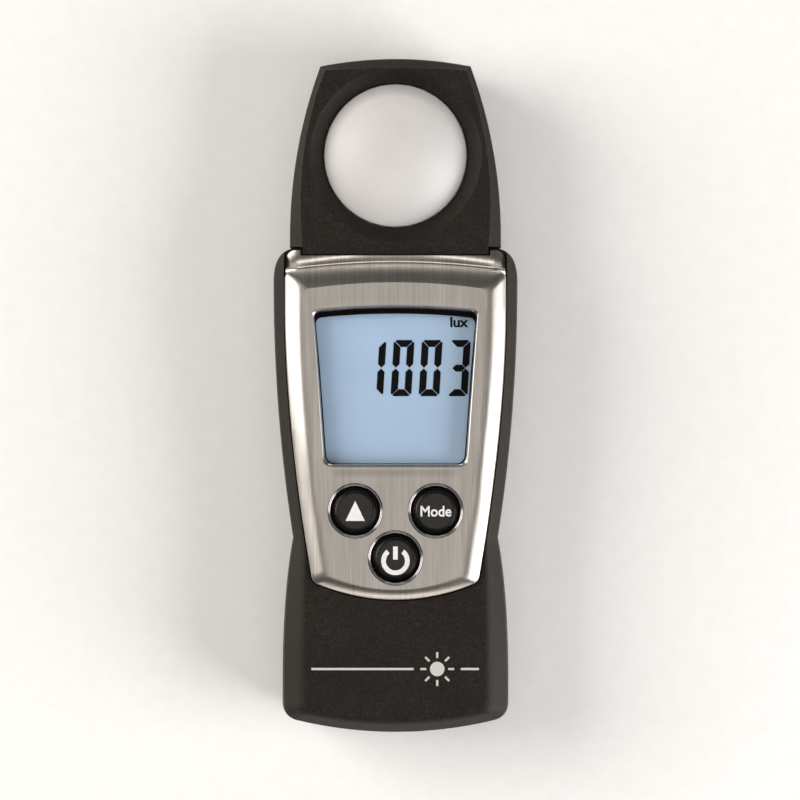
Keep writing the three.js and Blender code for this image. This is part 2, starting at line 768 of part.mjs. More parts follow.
const housing = new THREE.Group();
housing.add(
  part("rear_shell", rearShell(), M.blackPlastic),
  part("front_shell", frontShell(), M.blackPlastic),
  part("sensor_head_cover", sensorHeadCover(), M.blackPlastic),
  part("bezel_plate", bezelPlate(), M.satinNickel),
  part("battery_cover", batteryCover(), M.blackPlastic),
  part("rating_label", ratingLabel(), M.label),
);
CASE_SCREWS.forEach(({ x, y }, i) => {
  housing.add(part(`case_screw_${i + 1}`, screw(2.0, 1.1, 12.5), M.screw, x, y, SCREW_SINK));
});

const display = new THREE.Group();
display.add(
  part("display_window", displayWindow(), M.clear),
  part("lcd_cell", lcdCell(), M.displayBlue),
  part("lcd_light_guide", lcdLightGuide(), M.whitePlastic),
  part("lcd_frame", lcdFrame(), M.blackPlastic),
  part("lcd_connector_strip", block([-14.2, -14.3, 15.6], [14.2, -12.8, 19.3]), M.rubber),
);

const keypad = new THREE.Group();
for (const [name, { x, y }] of Object.entries(KEYS)) {
  keypad.add(
    part(`${name}_button`, keyCap(), M.rubber, x, y),
    part(`${name}_button_ring`, keyRing(), M.darkChrome, x, y),
    part(`${name}_snap_dome`, snapDome(), M.contact, x, y),
  );
}
keypad.add(part("keypad_mat", keypadMat(), M.rubber));

const electronics = new THREE.Group();
electronics.add(
  part("main_board", mainBoard(), M.board),
  part("controller_chip", block([-5, 0, 12.6], [5, 10, BOARD_Z[0] - 0.1]), M.chip),
  part("timing_crystal", block([6.5, 3.5, 12.7], [8.5, 8.5, BOARD_Z[0] - 0.1]), M.screw),
  part("ribbon_socket", block([-5, 18.6, BOARD_Z[1] + 0.05], [5, 20.3, 17.2]), M.whitePlastic),
  part("sensor_ribbon", sensorRibbon(), M.ribbon),
);
for (const [side, sign] of [["left", -1], ["right", 1]]) {
  const fixing = screw(1.9, 0.9, 5).rotate([180, 0, 0]);
  electronics.add(
    part(`board_screw_${side}`, fixing, M.screw, sign * BOARD_SCREW.x, BOARD_SCREW.y, 17.05),
  );
}

const sensor = new THREE.Group();
sensor.position.y = DOME_Y;
sensor.add(
  part("diffuser_dome", diffuserDome(), M.opal),
  part("sensor_carrier", sensorCarrier(), M.chip),
  part("colour_filter", post(0, 0, 4.8, 15.25, 16.7, 32), M.filterGlass),
  part("photodiode", block([-2.6, -2.6, 13.3], [2.6, 2.6, 14.6]), M.chip),
  part("sensor_board", sensorBoard(), M.board),
  part("dome_gasket", domeGasket(), M.rubber),
);
for (const [side, sign] of [["left", -1], ["right", 1]]) {
  const fixing = screw(1.6, 0.75, 4).rotate([180, 0, 0]);
  const [x, y] = [sign * SENSOR_POST.x, sign * SENSOR_POST.y];
  sensor.add(part(`sensor_screw_${side}`, fixing, M.screw, x, y, SENSOR_BOARD_Z[1] + 1.6));
}

const power = new THREE.Group();
power.add(
  part("cell_left", cell(), M.cell, -CELL_X, TRAY.low + 4.6, CELL_Z),
  part("cell_right", cell().rotate([0, 0, 180]), M.cell, CELL_X, TRAY.high - 4.6, CELL_Z),
  part("bridge_contact", bridgeContact(), M.contact, 0, TRAY.low + 0.2),
  part("negative_terminal", negativeTerminal(), M.contact, 0, TRAY.high - 0.2),
  part("positive_terminal", positiveTerminal(), M.contact, 0, TRAY.high - 0.2),
);

meter.add(housing, display, keypad, electronics, sensor, power);

export default meter;
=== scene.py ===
import json
import math

import bmesh
import bpy
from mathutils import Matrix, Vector


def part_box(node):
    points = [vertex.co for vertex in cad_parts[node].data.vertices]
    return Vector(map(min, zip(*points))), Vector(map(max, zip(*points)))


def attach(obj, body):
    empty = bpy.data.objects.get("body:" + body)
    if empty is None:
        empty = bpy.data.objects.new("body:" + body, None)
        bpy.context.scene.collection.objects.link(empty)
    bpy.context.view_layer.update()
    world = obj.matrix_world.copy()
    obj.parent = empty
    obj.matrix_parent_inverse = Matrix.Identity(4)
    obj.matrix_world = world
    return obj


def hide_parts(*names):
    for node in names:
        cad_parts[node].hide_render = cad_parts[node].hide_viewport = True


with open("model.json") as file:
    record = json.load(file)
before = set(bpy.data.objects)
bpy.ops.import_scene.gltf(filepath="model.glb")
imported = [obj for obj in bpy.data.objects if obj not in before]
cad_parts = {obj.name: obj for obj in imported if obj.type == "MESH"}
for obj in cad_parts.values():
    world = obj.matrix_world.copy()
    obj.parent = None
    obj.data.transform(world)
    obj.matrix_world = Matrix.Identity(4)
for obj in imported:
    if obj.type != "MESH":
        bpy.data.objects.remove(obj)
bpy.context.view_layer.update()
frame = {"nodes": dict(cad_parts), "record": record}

nodes = frame["nodes"]
mm = 0.001  # shapes are drawn in millimetres, and become metres when their mesh is built
print("frame loaded:", len(nodes), "nodes")


def linearColour(code):  # an sRGB hex value as linear red, green, blue and alpha
    channels = [int(code[i:i + 2], 16) / 255 for i in (1, 3, 5)]
    linear = [c / 12.92 if c <= 0.04045 else ((c + 0.055) / 1.055) ** 2.4 for c in channels]
    return (*linear, 1.0)


def addNode(tree, kind, inputs=None, **settings):
    node = tree.nodes.new(kind)
    for name, value in settings.items():
        setattr(node, name, value)
    for socket, value in (inputs or {}).items():
        if isinstance(value, bpy.types.NodeSocket):
            tree.links.new(value, node.inputs[socket])
        else:
            node.inputs[socket].default_value = value
    return node


def newMaterial(name, shader):
    material = bpy.data.materials.new(name)
    material.use_nodes = True
    tree = material.node_tree
    tree.nodes.clear()
    principled = addNode(tree, "ShaderNodeBsdfPrincipled", shader)
    addNode(tree, "ShaderNodeOutputMaterial", {"Surface": principled.outputs[0]})
    return material, tree, principled


def perMm(size):  # the texture scale whose features are this many millimetres across
    return 1 / (size * mm)


def grain(tree, size, detail=2.0, stretch=(1, 1, 1)):  # noise on the object's own coordinates
    place = addNode(tree, "ShaderNodeTexCoord")
    mapping = addNode(tree, "ShaderNodeMapping", {"Vector": place.outputs["Object"], "Scale": stretch})
    noise = {"Vector": mapping.outputs[0], "Scale": perMm(size), "Detail": detail, "Roughness": 0.55}
    return addNode(tree, "ShaderNodeTexNoise", noise).outputs[0]


def plus(tree, first, second, share):  # first + second * share
    inputs = {0: second, 1: share, 2: first}
    return addNode(tree, "ShaderNodeMath", inputs, operation="MULTIPLY_ADD").outputs[0]


def remap(tree, value, low, high, start=0.3, end=0.7):
    inputs = {"Value": value, "From Min": start, "From Max": end, "To Min": low, "To Max": high}
    return addNode(tree, "ShaderNodeMapRange", inputs).outputs[0]


def tint(tree, value, dark, light, start=0.3, end=0.7):  # a colour between two, by a value
    ramp = addNode(tree, "ShaderNodeValToRGB", {"Fac": value})
    for stop, place, code in zip(ramp.color_ramp.elements, (start, end), (dark, light)):
        stop.position = place
        stop.color = linearColour(code)
    return ramp.outputs[0]


def bump(tree, height, strength, depth):
    inputs = {"Height": height, "Strength": strength, "Distance": depth * mm}
    return addNode(tree, "ShaderNodeBump", inputs).outputs[0]


def feed(tree, shader, **sources):
    for socket, source in sources.items():
        tree.links.new(source, shader.inputs[socket.replace("_", " ")])


# black ABS, moulded in a spark-eroded tool: an even grain that breaks up every highlight
def blackAbs():
    look = {"deep": "#080706", "raised": "#312c28", "grainMm": 0.24, "cloudMm": 9.0}
    shader = {"IOR": 1.46, "Specular IOR Level": 0.33, "Specular Tint": (1.0, 0.88, 0.77, 1.0)}
    material, tree, shader = newMaterial("black_abs_spark_grain", shader)
    fine = grain(tree, look["grainMm"], 3.0)
    mottle = plus(tree, fine, grain(tree, look["cloudMm"], 1.0), 0.12)
    feed(tree, shader, Base_Color=tint(tree, mottle, look["deep"], look["raised"], 0.54, 0.80),
         Roughness=remap(tree, fine, 0.40, 0.60), Normal=bump(tree, fine, 1.0, 0.11))
    return material


# satin nickel plate, brushed along the meter: long fine lines that stretch every highlight
def satinNickel():
    # real brush lines lie about 0.05 mm apart: they are drawn four times as coarse, to show
    look = {"dark": "#a6a19b", "light": "#bdb8b2", "lineMm": 0.2, "lineLengthMm": 14.0}
    material, tree, shader = newMaterial("satin_nickel_brushed", {"Metallic": 1.0})
    drawn = look["lineMm"] / look["lineLengthMm"]
    lines = grain(tree, look["lineMm"], 4.0, (1, drawn, drawn))
    mottle = plus(tree, lines, grain(tree, 2.4, 2.0, (1, 0.12, 0.12)), 0.5)
    feed(tree, shader, Base_Color=tint(tree, mottle, look["dark"], look["light"], 0.55, 0.95),
         Roughness=remap(tree, lines, 0.29, 0.33), Normal=bump(tree, lines, 0.12, 0.01))
    return material


# black chrome, electroplated on a polished ring: a near mirror with faint wipe marks
def darkChrome():
    material, tree, shader = newMaterial("black_chrome_plated", {"Metallic": 1.0})
    wipe = grain(tree, 1.6, 3.0, (1, 0.3, 1))
    feed(tree, shader, Base_Color=tint(tree, wipe, "#8a8687", "#a09c9b"),
         Roughness=remap(tree, wipe, 0.08, 0.16))
    return material


# opal acrylic, moulded and satin finished: light scatters in it, so it shades softly
def opalAcrylic():
    shader = {"IOR": 1.49, "Subsurface Weight": 0.35, "Subsurface Scale": 1.5 * mm,
              "Subsurface Radius": (1.0, 0.95, 0.9)}
    material, tree, shader = newMaterial("opal_acrylic_satin", shader)
    haze = grain(tree, 5.0)
    feed(tree, shader, Base_Color=tint(tree, haze, "#d3d0ce", "#d7d4d2"),
         Roughness=remap(tree, haze, 0.46, 0.52), Normal=bump(tree, grain(tree, 0.4), 0.15, 0.01))
    return material


# cast acrylic sheet, die cut: clear, with a hard polished face
def clearAcrylic():
    material, tree, shader = newMaterial(
        "clear_acrylic_sheet", {"IOR": 1.49, "Specular IOR Level": 0.15, "Alpha": 0.02})
    haze = grain(tree, 8.0)
    feed(tree, shader, Base_Color=tint(tree, haze, "#4b5053", "#575c5f"),
         Roughness=remap(tree, haze, 0.03, 0.06))
    return material


# liquid crystal glass under a polarising film: flat grey-blue, faintly grained
def displayFilm():
    material, tree, shader = newMaterial("lcd_polarising_film", {"IOR": 1.5})
    cloud = grain(tree, 10.0)
    mottle = plus(tree, cloud, grain(tree, 0.3), 0.5)
    feed(tree, shader, Base_Color=tint(tree, mottle, "#aac5e2", "#b1cbe8", 0.55, 0.95),
         Roughness=remap(tree, cloud, 0.30, 0.38))
    return material


# gloss acrylic, moulded: black and smooth, with a trace of finger marks
def glossBlack():
    material, tree, shader = newMaterial("gloss_black_key_cap", {"IOR": 1.45})
    marks = grain(tree, 1.8, 4.0)
    feed(tree, shader, Base_Color=tint(tree, marks, "#0f0d0c", "#171413"),
         Roughness=remap(tree, marks, 0.20, 0.34))
    return material


# screen-printed ink: a thin matt layer with soft mottling
def printedInk(name, dark, light, shine=0.5):
    material, tree, shader = newMaterial(name, {"IOR": 1.45, "Specular IOR Level": shine})
    mottle = grain(tree, 0.5, 3.0)
    feed(tree, shader, Base_Color=tint(tree, mottle, dark, light),
         Roughness=remap(tree, mottle, 0.45, 0.60))
    return material


# a moulded, cast or plated piece: slight mottling in colour and gloss over a fine grain
def plainPiece(name, dark, light, rough, grainMm=0.4, metallic=0.0, depth=0.01):
    material, tree, shader = newMaterial(name, {"Metallic": metallic})
    fine = grain(tree, grainMm, 3.0)
    feed(tree, shader, Base_Color=tint(tree, fine, dark, light),
         Roughness=remap(tree, fine, rough - 0.06, rough + 0.08), Normal=bump(tree, fine, 0.3, depth))
    return material


# glass-epoxy board under green solder resist: the tracks show as slightly raised, lighter lanes
def circuitBoard():
    material, tree, shader = newMaterial("green_solder_resist", {"IOR": 1.5})
    place = addNode(tree, "ShaderNodeTexCoord")
    lanes = addNode(tree, "ShaderNodeTexBrick", {
        "Vector": place.outputs["Object"], "Scale": perMm(6.0), "Mortar Size": 0.035,
        "Mortar Smooth": 0.2, "Color1": linearColour("#1b5237"), "Color2": linearColour("#1e5a3b"),
        "Mortar": linearColour("#3f8a58"),
    })
    feed(tree, shader, Base_Color=lanes.outputs["Color"],
         Roughness=remap(tree, lanes.outputs["Fac"], 0.32, 0.24, 0.0, 1.0),
         Normal=bump(tree, lanes.outputs["Fac"], 0.4, 0.03))
    return material


# printed shrink sleeve on a drawn can: a slate blue body, a pale band at the positive end
def cellSleeve():
    material, tree, shader = newMaterial("printed_cell_sleeve", {"Metallic": 0.35, "Coat Weight": 0.3})
    along = addNode(tree, "ShaderNodeAttribute", attribute_name="along")
    bands = addNode(tree, "ShaderNodeValToRGB", {"Fac": along.outputs["Fac"]})
    bands.color_ramp.interpolation = "CONSTANT"
    bands.color_ramp.elements[0].color = linearColour("#8d9094")
    bands.color_ramp.elements[1].position = 0.05
    bands.color_ramp.elements[1].color = linearColour("#33495a")
    for position, code in ((0.78, "#b9bcbd"), (0.95, "#8f9396")):
        bands.color_ramp.elements.new(position).color = linearColour(code)
    feed(tree, shader, Base_Color=bands.outputs[0],
         Roughness=remap(tree, grain(tree, 0.8, 4.0), 0.24, 0.42))
    return material


finishes = {
    "black_abs": blackAbs(),
    "satin_nickel": satinNickel(),
    "dark_chrome": darkChrome(),
    "opal": opalAcrylic(),
    "clear_window": clearAcrylic(),
    "display": displayFilm(),
    "key_gloss": glossBlack(),
    "circuit_board": circuitBoard(),
    "cell_can": cellSleeve(),
    "white_plastic": plainPiece("white_polycarbonate", "#d8d8d2", "#e8e8e2", 0.4),
    "rubber": plainPiece("moulded_silicone_rubber", "#2b2a2b", "#3a3939", 0.75, 0.3),
    "component_black": plainPiece("moulded_epoxy_package", "#19191b", "#242427", 0.55, 0.2),
    "filter_glass": plainPiece("green_filter_glass", "#6f9f7c", "#7fb08a", 0.12, 2.0, 0.0, 0.002),
    "ribbon": plainPiece("amber_polyimide_film", "#a3772a", "#b98c3c", 0.35, 0.8),
    "contact_plate": plainPiece("nickel_plated_spring_steel", "#aaa69e", "#c4c1ba", 0.3, 0.5, 1.0, 0.006),
    "screw_steel": plainPiece("zinc_plated_steel", "#84878b", "#a2a5a8", 0.32, 0.35, 1.0, 0.008),
    "label": plainPiece("satin_silver_label_film", "#a9aaa8", "#b9bab8", 0.42, 0.9, 0.3, 0.003),
}
whiteInk = printedInk("white_screen_print", "#e9e9e7", "#f6f6f4")
greyInk = printedInk("pale_grey_screen_print", "#c2c2bd", "#d0d0cb")
# dark ink, also used for the black round the display window, whose wide top band is painted shadow
darkInkAndShadow = printedInk("dark_ink_and_painted_shadow", "#0a0909", "#0f0e0e", 0.02)
for row in frame["record"]["subparts"]:
    nodes[row["node"]].data.materials.clear()
    nodes[row["node"]].data.materials.append(finishes[row["material_slot"]])
print("materials made:", len(bpy.data.materials))


def trace(start, bends, steps):  # straight runs and quadratic bends, with equal counts of steps
    points = [start]
    for control, end in bends:
        x0, y0 = points[-1]
        x1, y1 = control or ((x0 + end[0]) / 2, (y0 + end[1]) / 2)
        for i in range(1, steps + 1):
            t = i / steps
            a, b, c = (1 - t) ** 2, 2 * t * (1 - t), t * t
            points.append((a * x0 + b * x1 + c * end[0], a * y0 + b * y1 + c * end[1]))
    return points


def mirrored(right):  # a closed outline from its right-hand half
    return right + [(-x, y) for x, y in right[-2:0:-1]]


def between(a, b, share):
    return [(p[0] + (q[0] - p[0]) * share, p[1] + (q[1] - p[1]) * share) for p, q in zip(a, b)]


def inset(outline, distance):
    moved = []
    for i, (x, y) in enumerate(outline):
        after = Vector(outline[(i + 1) % len(outline)])
        along = (after - Vector(outline[i - 1])).normalized()
        moved.append((x - along.y * distance, y + along.x * distance))
    return moved


meter = {
    "length": 126.4, "waistY": -26.6, "shoulderY": 27.6, "parting": 11.0, "partingGap": 0.15,
    "partingInset": 0.07, "partingRise": 0.25, "faceZ": 21.5, "deckZ": 19.6, "wall": 1.8,
    "headBackZ": 3.0, "curveSteps": 12, "bottomRadius": 78.0,
}
bottomY = -meter["length"] / 2
headTopY = meter["length"] / 2
maskThick, markThick = 0.03, 0.04  # of the black print and painted shadow behind the window, and of the printed marks
aboveAll, belowAll = 30, -1  # past the front and past the back, for shapes that cut
pastEnd = -70  # past the lower end


def bodyOutline(low, waist, high, bottom, top, corner, shoulder):
    end = low - corner
    edge = bottom + end * end / (2 * meter["bottomRadius"])
    return mirrored(trace((0, bottom), [
        ((end / 2, bottom), (end, edge)),
        ((low, edge + 0.24 * corner), (low, edge + 1.25 * corner)),
        (None, (low, -52)),
        ((low - 0.1, -36.5), (waist, meter["waistY"])),
        ((high, -3), (high, top - shoulder * 1.8)),
        ((high, top - 0.7), (high - shoulder, top)),
        (None, (0, top)),
    ], meter["curveSteps"]))


def headOutline(foot, bulge, corner, cornerY, top):
    return mirrored(trace((0, 20), [
        (None, (foot, 20)),
        (None, (foot, 29)),
        ((bulge, 46), (corner, cornerY)),
        ((corner / 2, top), (0, top)),
    ], meter["curveSteps"]))


def bezelOutline(bottom, bottomEnd, lowCorner, bulge, high, topEnd, top):
    return mirrored(trace((0, bottom), [
        ((bottomEnd[0] / 2, bottom), bottomEnd),
        ((lowCorner[0] - 0.15, bottomEnd[1] + 0.45), lowCorner),
        ((bulge, -5), (high, 16)),
        (None, (high, topEnd[1] - 1.5)),
        ((high, topEnd[1] - 0.35), topEnd),
        ((topEnd[0] / 2, top), (0, top)),
    ], meter["curveSteps"]))


def windowOutline(side, below=None, above=None):  # the display opening, grown by these margins
    low, high = 13.3 + side, 15.2 + side
    bottom = -12.8 - (side if below is None else below)
    top = 16.6 + (side if above is None else above)
    return mirrored(trace((0, bottom), [
        (None, (low - 1.7, bottom)),
        ((low - 0.1, bottom), (low, bottom + 1.7)),
        (None, (low + (high - low) * 0.6, 5)),
        (None, (high, top - 2.1)),
        ((high + 0.1, top - 0.85), (high - 1.2, top - 0.7)),
        ((high / 2, top), (0, top)),
    ], meter["curveSteps"]))


silhouette = bodyOutline(21.3, 19.3, 23.0, bottomY, meter["shoulderY"], 2.8, 3.4)
frontFace = bodyOutline(17.6, 17.35, 20.4, bottomY + 2.2, 27.3, 1.2, 1.6)
backFace = bodyOutline(18.5, 16.5, 20.2, bottomY + 2.8, 25.2, 2.2, 2.6)
headSilhouette = headOutline(19.8, 19.9, 14.1, 61.8, headTopY)
headFace = headOutline(17.5, 19.0, 13.2, 60.9, headTopY - 1.8)
bezelEdge = bezelOutline(-38.1, (14.3, -35.3), (15.8, -33.2), 20.5, 20.65, (19.4, 23.35), 24.6)
bezelRidge = bezelOutline(-36.3, (12.2, -33.8), (13.1, -32.1), 17.5, 17.6, (16.7, 20.4), 21.6)
bezelFace = bezelOutline(-36.0, (11.7, -33.4), (12.4, -31.9), 16.7, 16.75, (16.2, 20.0), 21.2)


def makeObject(name, vertices, faces):
    mesh = bpy.data.meshes.new(name)
    mesh.from_pydata([Vector(v) * mm for v in vertices], [], faces)
    made = bpy.data.objects.new(name, mesh)
    bpy.context.scene.collection.objects.link(made)
    return made


def skin(sections, loop=False):  # a solid through sections of equal point counts
    count = len(sections[0])
    faces = []
    for level in range(len(sections) if loop else len(sections) - 1):
        lower, upper = level * count, (level + 1) % len(sections) * count
        for i in range(count):
            j = (i + 1) % count
            faces.append((lower + i, lower + j, upper + j, upper + i))
    if not loop:
        last = (len(sections) - 1) * count
        faces += [tuple(range(count - 1, -1, -1)), tuple(range(last, last + count))]
    return makeObject("solid", [point for section in sections for point in section], faces)


def raised(outline, z):
    return [(x, y, z) for x, y in outline]


def loft(levels, loop=False):  # (outline, height) from the lowest up
    return skin([raised(outline, z) for outline, z in levels], loop)


def rounded(profile, outer, inner):  # a loft whose sides follow a profile of (share, height)
    return loft([(between(outer, inner, share), z) for share, z in profile])


def prism(outline, low, high):
    return loft([(outline, low), (outline, high)])


def block(low, high):
    corners = [(low[0], low[1]), (high[0], low[1]), (high[0], high[1]), (low[0], high[1])]
    return prism(corners, low[2], high[2])


def ring(centre, radius, sides):
    turn = 2 * math.pi / sides
    return [(centre[0] + radius * math.cos(i * turn), centre[1] + radius * math.sin(i * turn))
            for i in range(sides)]


def post(x, y, radius, low, high, sides=32):
    return prism(ring((x, y), radius, sides), low, high)


def turned(profile, centre=(0, 0), sides=64):  # (radius, height) points turned about Z
    closes = profile[0][0] > 0
    levels = profile if closes else profile[1:-1]
    made = loft([(ring(centre, radius, sides), height) for radius, height in levels], closes)
    if not closes:  # each flat end becomes a fan about the axis
        mesh = bmesh.new()
        mesh.from_mesh(made.data)
        ends = sorted((face for face in mesh.faces if len(face.verts) == sides),
                      key=lambda face: face.calc_center_median().z)
        for face, (_, height) in zip(ends, sorted((profile[0], profile[-1]), key=lambda p: p[1])):
            tip = bmesh.ops.poke(mesh, faces=[face])["verts"][0]
            tip.co = Vector((*centre, height)) * mm
        mesh.to_mesh(made.data)
        mesh.free()
    return made


def settle(piece):  # its modifiers become its mesh
    graph = bpy.context.evaluated_depsgraph_get()
    result = bpy.data.meshes.new_from_object(piece.evaluated_get(graph))
    piece.modifiers.clear()
    piece.data = result
    return piece


def combine(piece, operation, *tools):
    for tool in tools:
        modifier = piece.modifiers.new("combine", "BOOLEAN")
        modifier.operation = operation
        modifier.solver = "MANIFOLD"
        modifier.object = tool
        settle(piece)
        bpy.data.objects.remove(tool)
    return piece


def finish(piece, name, slot, bodyName, replaced=(), edge=0.0, crease=30, material=None):
    piece.name = name
    piece.data.name = name
    piece.data.materials.clear()
    piece.data.materials.append(material or finishes[slot])
    piece.data.shade_smooth()
    piece.data.set_sharp_from_angle(angle=math.radians(crease))
    if edge:
        bevel = piece.modifiers.new("edge", "BEVEL")
        bevel.limit_method = "ANGLE"
        bevel.angle_limit = math.radians(crease)
        bevel.width = edge * mm
        bevel.segments = 2
    piece.modifiers.new("flats", "WEIGHTED_NORMAL").keep_sharp = True
    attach(piece, bodyName)
    if replaced:
        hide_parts(*replaced)
    return piece


def middle(node):  # the middle of a CAD node's box, in millimetres
    low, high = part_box(node)
    return [(a + b) / 2 / mm for a, b in zip(low, high)]


view = {"widthMm": 151.3, "lensMm": 200, "aimZ": 11.0, "aim": (0.85, -0.76)}


def makeCamera():
    camera = bpy.data.cameras.new("camera")
    camera.lens = view["lensMm"]
    distance = view["widthMm"] * camera.lens / camera.sensor_width
    seat = bpy.data.objects.new("camera", camera)
    seat.location = Vector((*view["aim"], view["aimZ"] + distance)) * mm
    bpy.context.scene.collection.objects.link(seat)
    bpy.context.scene.camera = seat


def areaLight(name, place, aim, size, watts, colour="#ffffff"):  # places and sizes in metres
    lamp = bpy.data.lights.new(name, "AREA")
    lamp.shape = "RECTANGLE"
    lamp.size, lamp.size_y = size
    lamp.energy = watts
    lamp.color = linearColour(colour)[:3]
    holder = bpy.data.objects.new(name, lamp)
    holder.location = place
    holder.rotation_euler = (Vector(aim) - Vector(place)).to_track_quat("-Z", "Y").to_euler()
    bpy.context.scene.collection.objects.link(holder)


def makeStudio():
    half = 1500
    corners = [(-half, -half, 0), (half, -half, 0), (half, half, 0), (-half, half, 0)]
    table = makeObject("table", corners, [(0, 1, 2, 3)])
    table.data.materials.append(plainPiece("pale_table_paint", "#f6f5f3", "#f9f8f6", 0.6, grainMm=3.0))
    world = bpy.data.worlds.new("studio")
    world.use_nodes = True
    glow = world.node_tree.nodes["Background"].inputs
    glow["Color"].default_value = linearColour("#b9b7b4")
    glow["Strength"].default_value = 0.2
    bpy.context.scene.world = world
    bpy.context.scene.view_settings.view_transform = "Standard"
    areaLight("left_softbox", (-0.60, 0.18, 0.34), (0, 0.01, 0.01), (0.5, 0.68), 5.5, "#fffbf6")
    areaLight("right_softbox", (0.62, -0.24, 0.28), (0, -0.02, 0.01), (0.5, 0.62), 6.4)
    areaLight("overhead_softbox", (0.0, -0.15, 1.2), (0, 0, 0), (0.85, 0.85), 2.05, "#fffbf6")
    areaLight("far_low_softbox", (0.0, 0.80, 0.11), (0, 0.03, 0.01), (0.7, 0.16), 1.6, "#fffaf4")
    areaLight("near_low_softbox", (0.0, -0.80, 0.16), (0, -0.05, 0.01), (0.7, 0.24), 1.3, "#fffaf4")


makeCamera()
makeStudio()
print("camera and studio set")

keyRadius = 4.05
keyNames = ("up", "mode", "power")
keyCentres = {name: middle(name + "_button")[:2] for name in keyNames}
screwSpots = [middle(f"case_screw_{number}")[:2] for number in (1, 2, 3, 4)]
boardScrew = middle("board_screw_right")[:2]
domeY = middle("diffuser_dome")[1]
partingLow = meter["parting"]
partingHigh = meter["parting"] + meter["partingGap"]
threadRadius = 1.3  # of the hole that a case screw cuts its thread in


def frontShell():
    front = {"turnZ": 15.4, "postRadius": 2.7, "threadTop": 17.5, "seatZ": 20.65, "seatGap": 0.25,
             "keyGap": 0.3, "keyFloor": 18}
    profile = trace((meter["partingInset"], partingHigh), [
        (None, (0, partingHigh + meter["partingRise"])),
        ((0, 17.2), (0.13, 18.4)),
        (None, (0.72, 20.5)),
        ((0.98, meter["faceZ"]), (1.3, meter["faceZ"])),
    ], 6)
    shell = rounded(profile, silhouette, frontFace)
    wall = meter["wall"]
    cavity = loft([
        (inset(silhouette, wall), 10),
        (inset(silhouette, wall), front["turnZ"]),
        (inset(between(silhouette, frontFace, 0.62), wall - 0.3), meter["deckZ"]),
    ])
    combine(shell, "DIFFERENCE", cavity)
    for x, y in screwSpots:
        combine(shell, "UNION", post(x, y, front["postRadius"], partingHigh, meter["deckZ"] + 0.2))
        combine(shell, "DIFFERENCE", post(x, y, threadRadius, 10, front["threadTop"]))
    collarSeat = block((-20.85, 20, 18.7), (20.85, 27.6, aboveAll))
    neck = block((-17.7, 22.2, 10), (17.7, 30, aboveAll))
    displayHole = block((-16, -14.4, 18), (16, 17.6, aboveAll))
    bezelSeat = prism(inset(bezelEdge, -front["seatGap"]), front["seatZ"], aboveAll)
    combine(shell, "DIFFERENCE", bezelSeat, collarSeat, neck, displayHole)
    for x, y in keyCentres.values():
        hole = post(x, y, keyRadius + front["keyGap"], front["keyFloor"], aboveAll, 64)
        combine(shell, "DIFFERENCE", hole)
    finish(shell, "front_shell_moulding", "black_abs", "meter_body", ["front_shell"], crease=16)


def strapTunnel():  # bends in through the back and out through the side, for a wrist cord
    tunnel = {"bend": 2.5, "bore": 0.85, "centre": (20.2, -54.5, 1.0)}
    made = turned(ring((tunnel["bend"], 0), tunnel["bore"], 20), sides=64)
    for vertex in made.data.vertices:
        x, y, z = vertex.co
        vertex.co = Vector((x, -z, y)) + Vector(tunnel["centre"]) * mm
    return made


backRound = [((0.8, 0), (0.62, 0.8)), ((0.3, 2.4), (0.12, 4.4)), ((0, 6), (0, 8))]


def rearOuter():  # the rear of the body alone, up to the parting line
    profile = trace((1.0, 0), backRound + [
        (None, (0, partingLow - meter["partingRise"])),
        (None, (meter["partingInset"], partingLow)),
    ], 4)
    return rounded(profile, silhouette, backFace)


sensorPost = (10.5, 9.5)  # from the middle of the diffuser


def rearPosts(shell):
    posts = {"case": (2.9, 1.5, partingLow), "board": (1.9, 2, 14.1), "sensor": (1.8, 4, 12.1)}
    for x, y in screwSpots:
        combine(shell, "UNION", post(x, y, *posts["case"]))
    for side in (-1, 1):
        combine(shell, "UNION", post(side * boardScrew[0], boardScrew[1], *posts["board"]))
        for end in (-1, 1):
            x, y = side * sensorPost[0], domeY + end * sensorPost[1]
            combine(shell, "UNION", post(x, y, *posts["sensor"]))


def rearScrewHoles(shell):
    holes = {"head": (2.2, belowAll, 3.2), "case": (threadRadius, belowAll, 12),
             "board": (1.05, 8, 16), "sensor": (0.9, 7.5, 14)}
    for x, y in screwSpots:
        combine(shell, "DIFFERENCE", post(x, y, *holes["head"]), post(x, y, *holes["case"]))
    for side in (-1, 1):
        board = post(side * boardScrew[0], boardScrew[1], *holes["board"])
        x, y = side * sensorPost[0], domeY + side * sensorPost[1]
        combine(shell, "DIFFERENCE", board, post(x, y, *holes["sensor"]))


